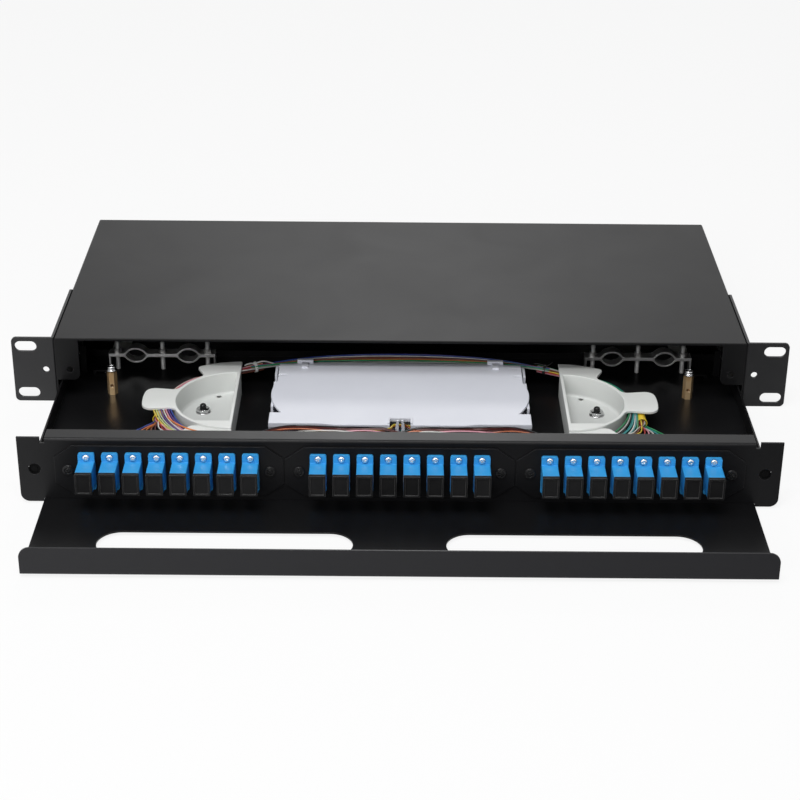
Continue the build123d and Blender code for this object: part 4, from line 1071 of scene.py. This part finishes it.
def threaded_stud(radius, pitch, bottom, top):
    """A stud with its thread: one turn's ridge, repeated up the stud, and a rounded end."""
    thread_depth = 0.55 * pitch
    root = radius - thread_depth
    turns = int((top - bottom) / pitch) - 1
    high = bottom + turns * pitch
    put_down_all()
    bpy.ops.mesh.primitive_circle_add(vertices=16, radius=root * MM, location=(0, 0, bottom * MM))
    stud = settled()
    pick_edges(stud, lambda a, b: True)
    for grow in (radius / root, root / radius):
        extrude(z=pitch / 2)
        widen(grow, grow)
    back_to_object()
    modify(stud, "ARRAY", count=turns, use_relative_offset=False, use_constant_offset=True,
           constant_offset_displace=(0, 0, pitch * MM), use_merge_vertices=True, merge_threshold=hair * MM)
    pick_edges(stud, lambda a, b: min(a.z, b.z) > (high - hair) * MM)
    # The end rises in two steps, each narrower
    for rise, shrink in ((0.3, 0.8), (0.2, 0.5)):
        extrude(z=rise)
        widen(shrink, shrink)
    bpy.ops.mesh.edge_face_add()
    bpy.ops.mesh.select_all(action="SELECT")
    bpy.ops.mesh.normals_make_consistent(inside=False)
    back_to_object()
    return stud


def hex_nut(across, height, bore):
    """A hexagon nut with its corners turned off above and below."""
    turned_radius = 0.57 * across
    turned_off = 0.07 * across
    nut = bar(turned_radius, 0.0, height, sides=36)
    round_edges(nut, level_edge, turned_off, steps=2)
    cut(nut, bar(across / sqrt(3), -height / 2, height * 3 / 2, sides=6), "INTERSECT")
    cut(nut, bar(bore, -height, 2 * height, sides=24))
    return nut


def washer(radius, height):
    """A round washer with its edges broken."""
    edge_break = 0.3 * height
    ring = bar(radius, 0.0, height, sides=36)
    round_edges(ring, level_edge, edge_break, steps=2)
    return ring


clamp_depth = 170.0
clamp_nut_z = -7.0
clamp_stud_x = (124.3, 153.3, 182.3)
stud_roll, nut_roll = 0.4, 0.7
stud_places = [side * x for side in both_sides for x in clamp_stud_x]
spots = [upright(x, clamp_depth, 0.0, stud_roll * number) for number, x in enumerate(stud_places)]
studs = set_out(threaded_stud(radius=1.5, pitch=0.55, bottom=-20.0, top=0.5), "threaded_studs", spots)
finished(studs, "drawer", bright_stud, "zinc_steel", "clamp_studs", angle=50)
spots = [upright(x, clamp_depth, clamp_nut_z, nut_roll * number) for number, x in enumerate(stud_places)]
clamp_nuts = set_out(hex_nut(across=4.6, height=2.4, bore=1.55), "clamp_hex_nuts", spots)
finished(clamp_nuts, "drawer", zinc_dark, "zinc_steel", "clamp_nuts")


def on_both_sides(pattern, name, x, behind, z, roll=0.0):
    """A piece modelled upright, set out at the left and at the right."""
    return set_out(pattern, name, [upright(side * x, behind, z, roll * side) for side in both_sides])


# X and depth of the stud in a spool
spool_stud = (121.5, 106.0)
spool_seat = -17.5
spool_washer = 0.5
spool_roll = 0.25
spool_nut = hex_nut(across=7.6, height=2.0, bore=2.05)
nuts = on_both_sides(spool_nut, "spool_hex_nuts", *spool_stud, spool_seat + spool_washer, spool_roll)
flat_ring = washer(radius=4.7, height=spool_washer)
washers = on_both_sides(flat_ring, "spool_washers", *spool_stud, spool_seat, spool_roll)
finished(join([nuts, washers], "spool_nuts_and_washers"), "drawer", shaded_nickel, "bright_screw", "spool_nuts")

# X and depth of a post
post = (181.0, 133.6)
post_top = -2.8
post_washer = 0.8
post_roll = 0.5
post_x, post_depth = post
post_screw = dict(head_radius=2.8, head_height=1.6, shank_radius=1.5, shank_length=7.4, across=3.4)
spots = [upright(x, post_depth, post_top + 2 * post_washer, post_roll + x) for x in (-post_x, post_x)]
heads = set_out(cross_screw(**post_screw), "post_screw_heads", spots)
wide_ring = washer(radius=3.5, height=post_washer)
lower = on_both_sides(wide_ring, "post_washers_lower", *post, post_top)
narrow_ring = washer(radius=3.1, height=post_washer)
upper = on_both_sides(narrow_ring, "post_washers_upper", *post, post_top + post_washer)
finished(join([heads, lower, upper], "post_screws"), "drawer", shaded_nickel, "bright_screw", "anchor_screws")


def latch_plunger():
    """A plunger that snaps into the panel's ear, upright: a cupped button, its bush and a short nose."""
    bush_radius = 3.4
    bush_height = 1.2
    nose_inset = 1.9
    nose_length = 2.2
    nose_taper = 0.8
    plunger = bar(bush_radius, -bush_height, 0.0, sides=32)
    pick_faces(plunger, faces_up)
    # The cup and the button in it: how far in, and how far up
    for inwards, rise in ((0.5, -0.7), (1.2, 0.3)):
        inset(inwards)
        extrude(z=rise)
    back_to_object()
    pick_faces(plunger, faces_down)
    inset(nose_inset)
    extrude(z=-nose_length)
    widen(nose_taper, nose_taper)
    back_to_object()
    return plunger


# The plungers are guessed; dark and dull, they fill the ear holes with painted shade.
panel_ear_x = 206.0
plunger_roll = 0.3
spots = [facing_front(side * panel_ear_x, 0.0, 0.0, plunger_roll) for side in both_sides]
finished(set_out(latch_plunger(), "latch_plungers", spots), "drawer", plunger_as_hole_shade, "black_plastic")


# Ties and sleeves on the fibres

def cable_tie(ends):
    """A thin tie round the fibres with its head on top and two loose ends, modelled with its axis along X."""
    band_radius = 2.4
    band_width = 1.8
    band_wall = 0.5
    head_middle = (0, 0.3, 3.3)
    head_size = (1.9, 2.2, 1.4)
    head_round = 0.4
    end_x = 0.9
    end_z = 3.4
    end_size = (0.8, 1.6, 0.8)
    band = open_tube(band_radius, band_width, sides=32, turn=(0, pi / 2, 0))
    modify(band, "SOLIDIFY", thickness=band_wall * MM, offset=1.0)
    head = block(head_middle, head_size)
    modify(head, "BEVEL", width=head_round * MM, segments=3)
    tails = []
    for way, moves in ends:
        tail = block((way * end_x, 0, end_z), end_size)
        pick_faces(tail, lambda centre, normal: normal.x * way > squarely)
        for along, aside, rise in moves:
            extrude(way * along, aside, rise)
        back_to_object()
        modify(tail, "SUBSURF", levels=2, render_levels=2)
        tails.append(tail)
    return join([band, head, *tails], "cable_tie")


# Each loose end runs along, aside and up from the head, step by step
long_end = ((1.8, -0.2, 0.5), (2.4, -0.5, 0.2), (2.6, -1.0, -0.5), (2.6, -1.2, -1.0), (2.4, -0.9, -1.0))
short_end = ((1.8, 0.1, 0.4), (2.4, -0.3, 0.1), (2.4, -0.6, -0.5))
stub_end = ((1.2, 0.2, 0.8), (1.4, 0.3, 1.2), (1.0, 0.1, 1.2))
ties = ((-1, "left", tie_white, "white_plastic", ((1, long_end), (-1, short_end))),
        (1, "right", tie_dark, "black_plastic", ((-1, short_end), (1, stub_end))))
for side, name, look, slot, ends in ties:
    spot = upright(side * tie_x, tie_depth, bundle_z, side * (tie_turn - pi / 2))
    finished(set_out(cable_tie(ends), f"fibre_tie_{name}", [spot]), "drawer", look, slot, f"cable_tie_{name}")


def fan_out_sleeve():
    """A thin sleeve along Y, opened a little at the end where the fibres fan out."""
    sleeve_radius = 2.75
    sleeve_wall = 0.5
    length = sleeve_back - sleeve_front
    sleeve = open_tube(sleeve_radius, length, sides=28, turn=(pi / 2, 0, 0))
    pick_edges(sleeve, lambda a, b: max(a.y, b.y) < (hair - length / 2) * MM)
    for out, grow in ((0.8, 1.06), (0.7, 1.1)):
        extrude(y=-out)
        widen(x=grow, z=grow)
    back_to_object()
    modify(sleeve, "SOLIDIFY", thickness=sleeve_wall * MM, offset=0.0)
    return sleeve


sleeve_middle = (sleeve_front + sleeve_back) / 2
sleeves = on_both_sides(fan_out_sleeve(), "yellow_sleeves", sleeve_x, sleeve_middle, bundle_z)
finished(sleeves, "drawer", sleeve_yellow, "yellow_sleeve", "fan_out_sleeves", angle=50)

bpy.context.scene.view_settings.view_transform = "Standard"
put_down_all()
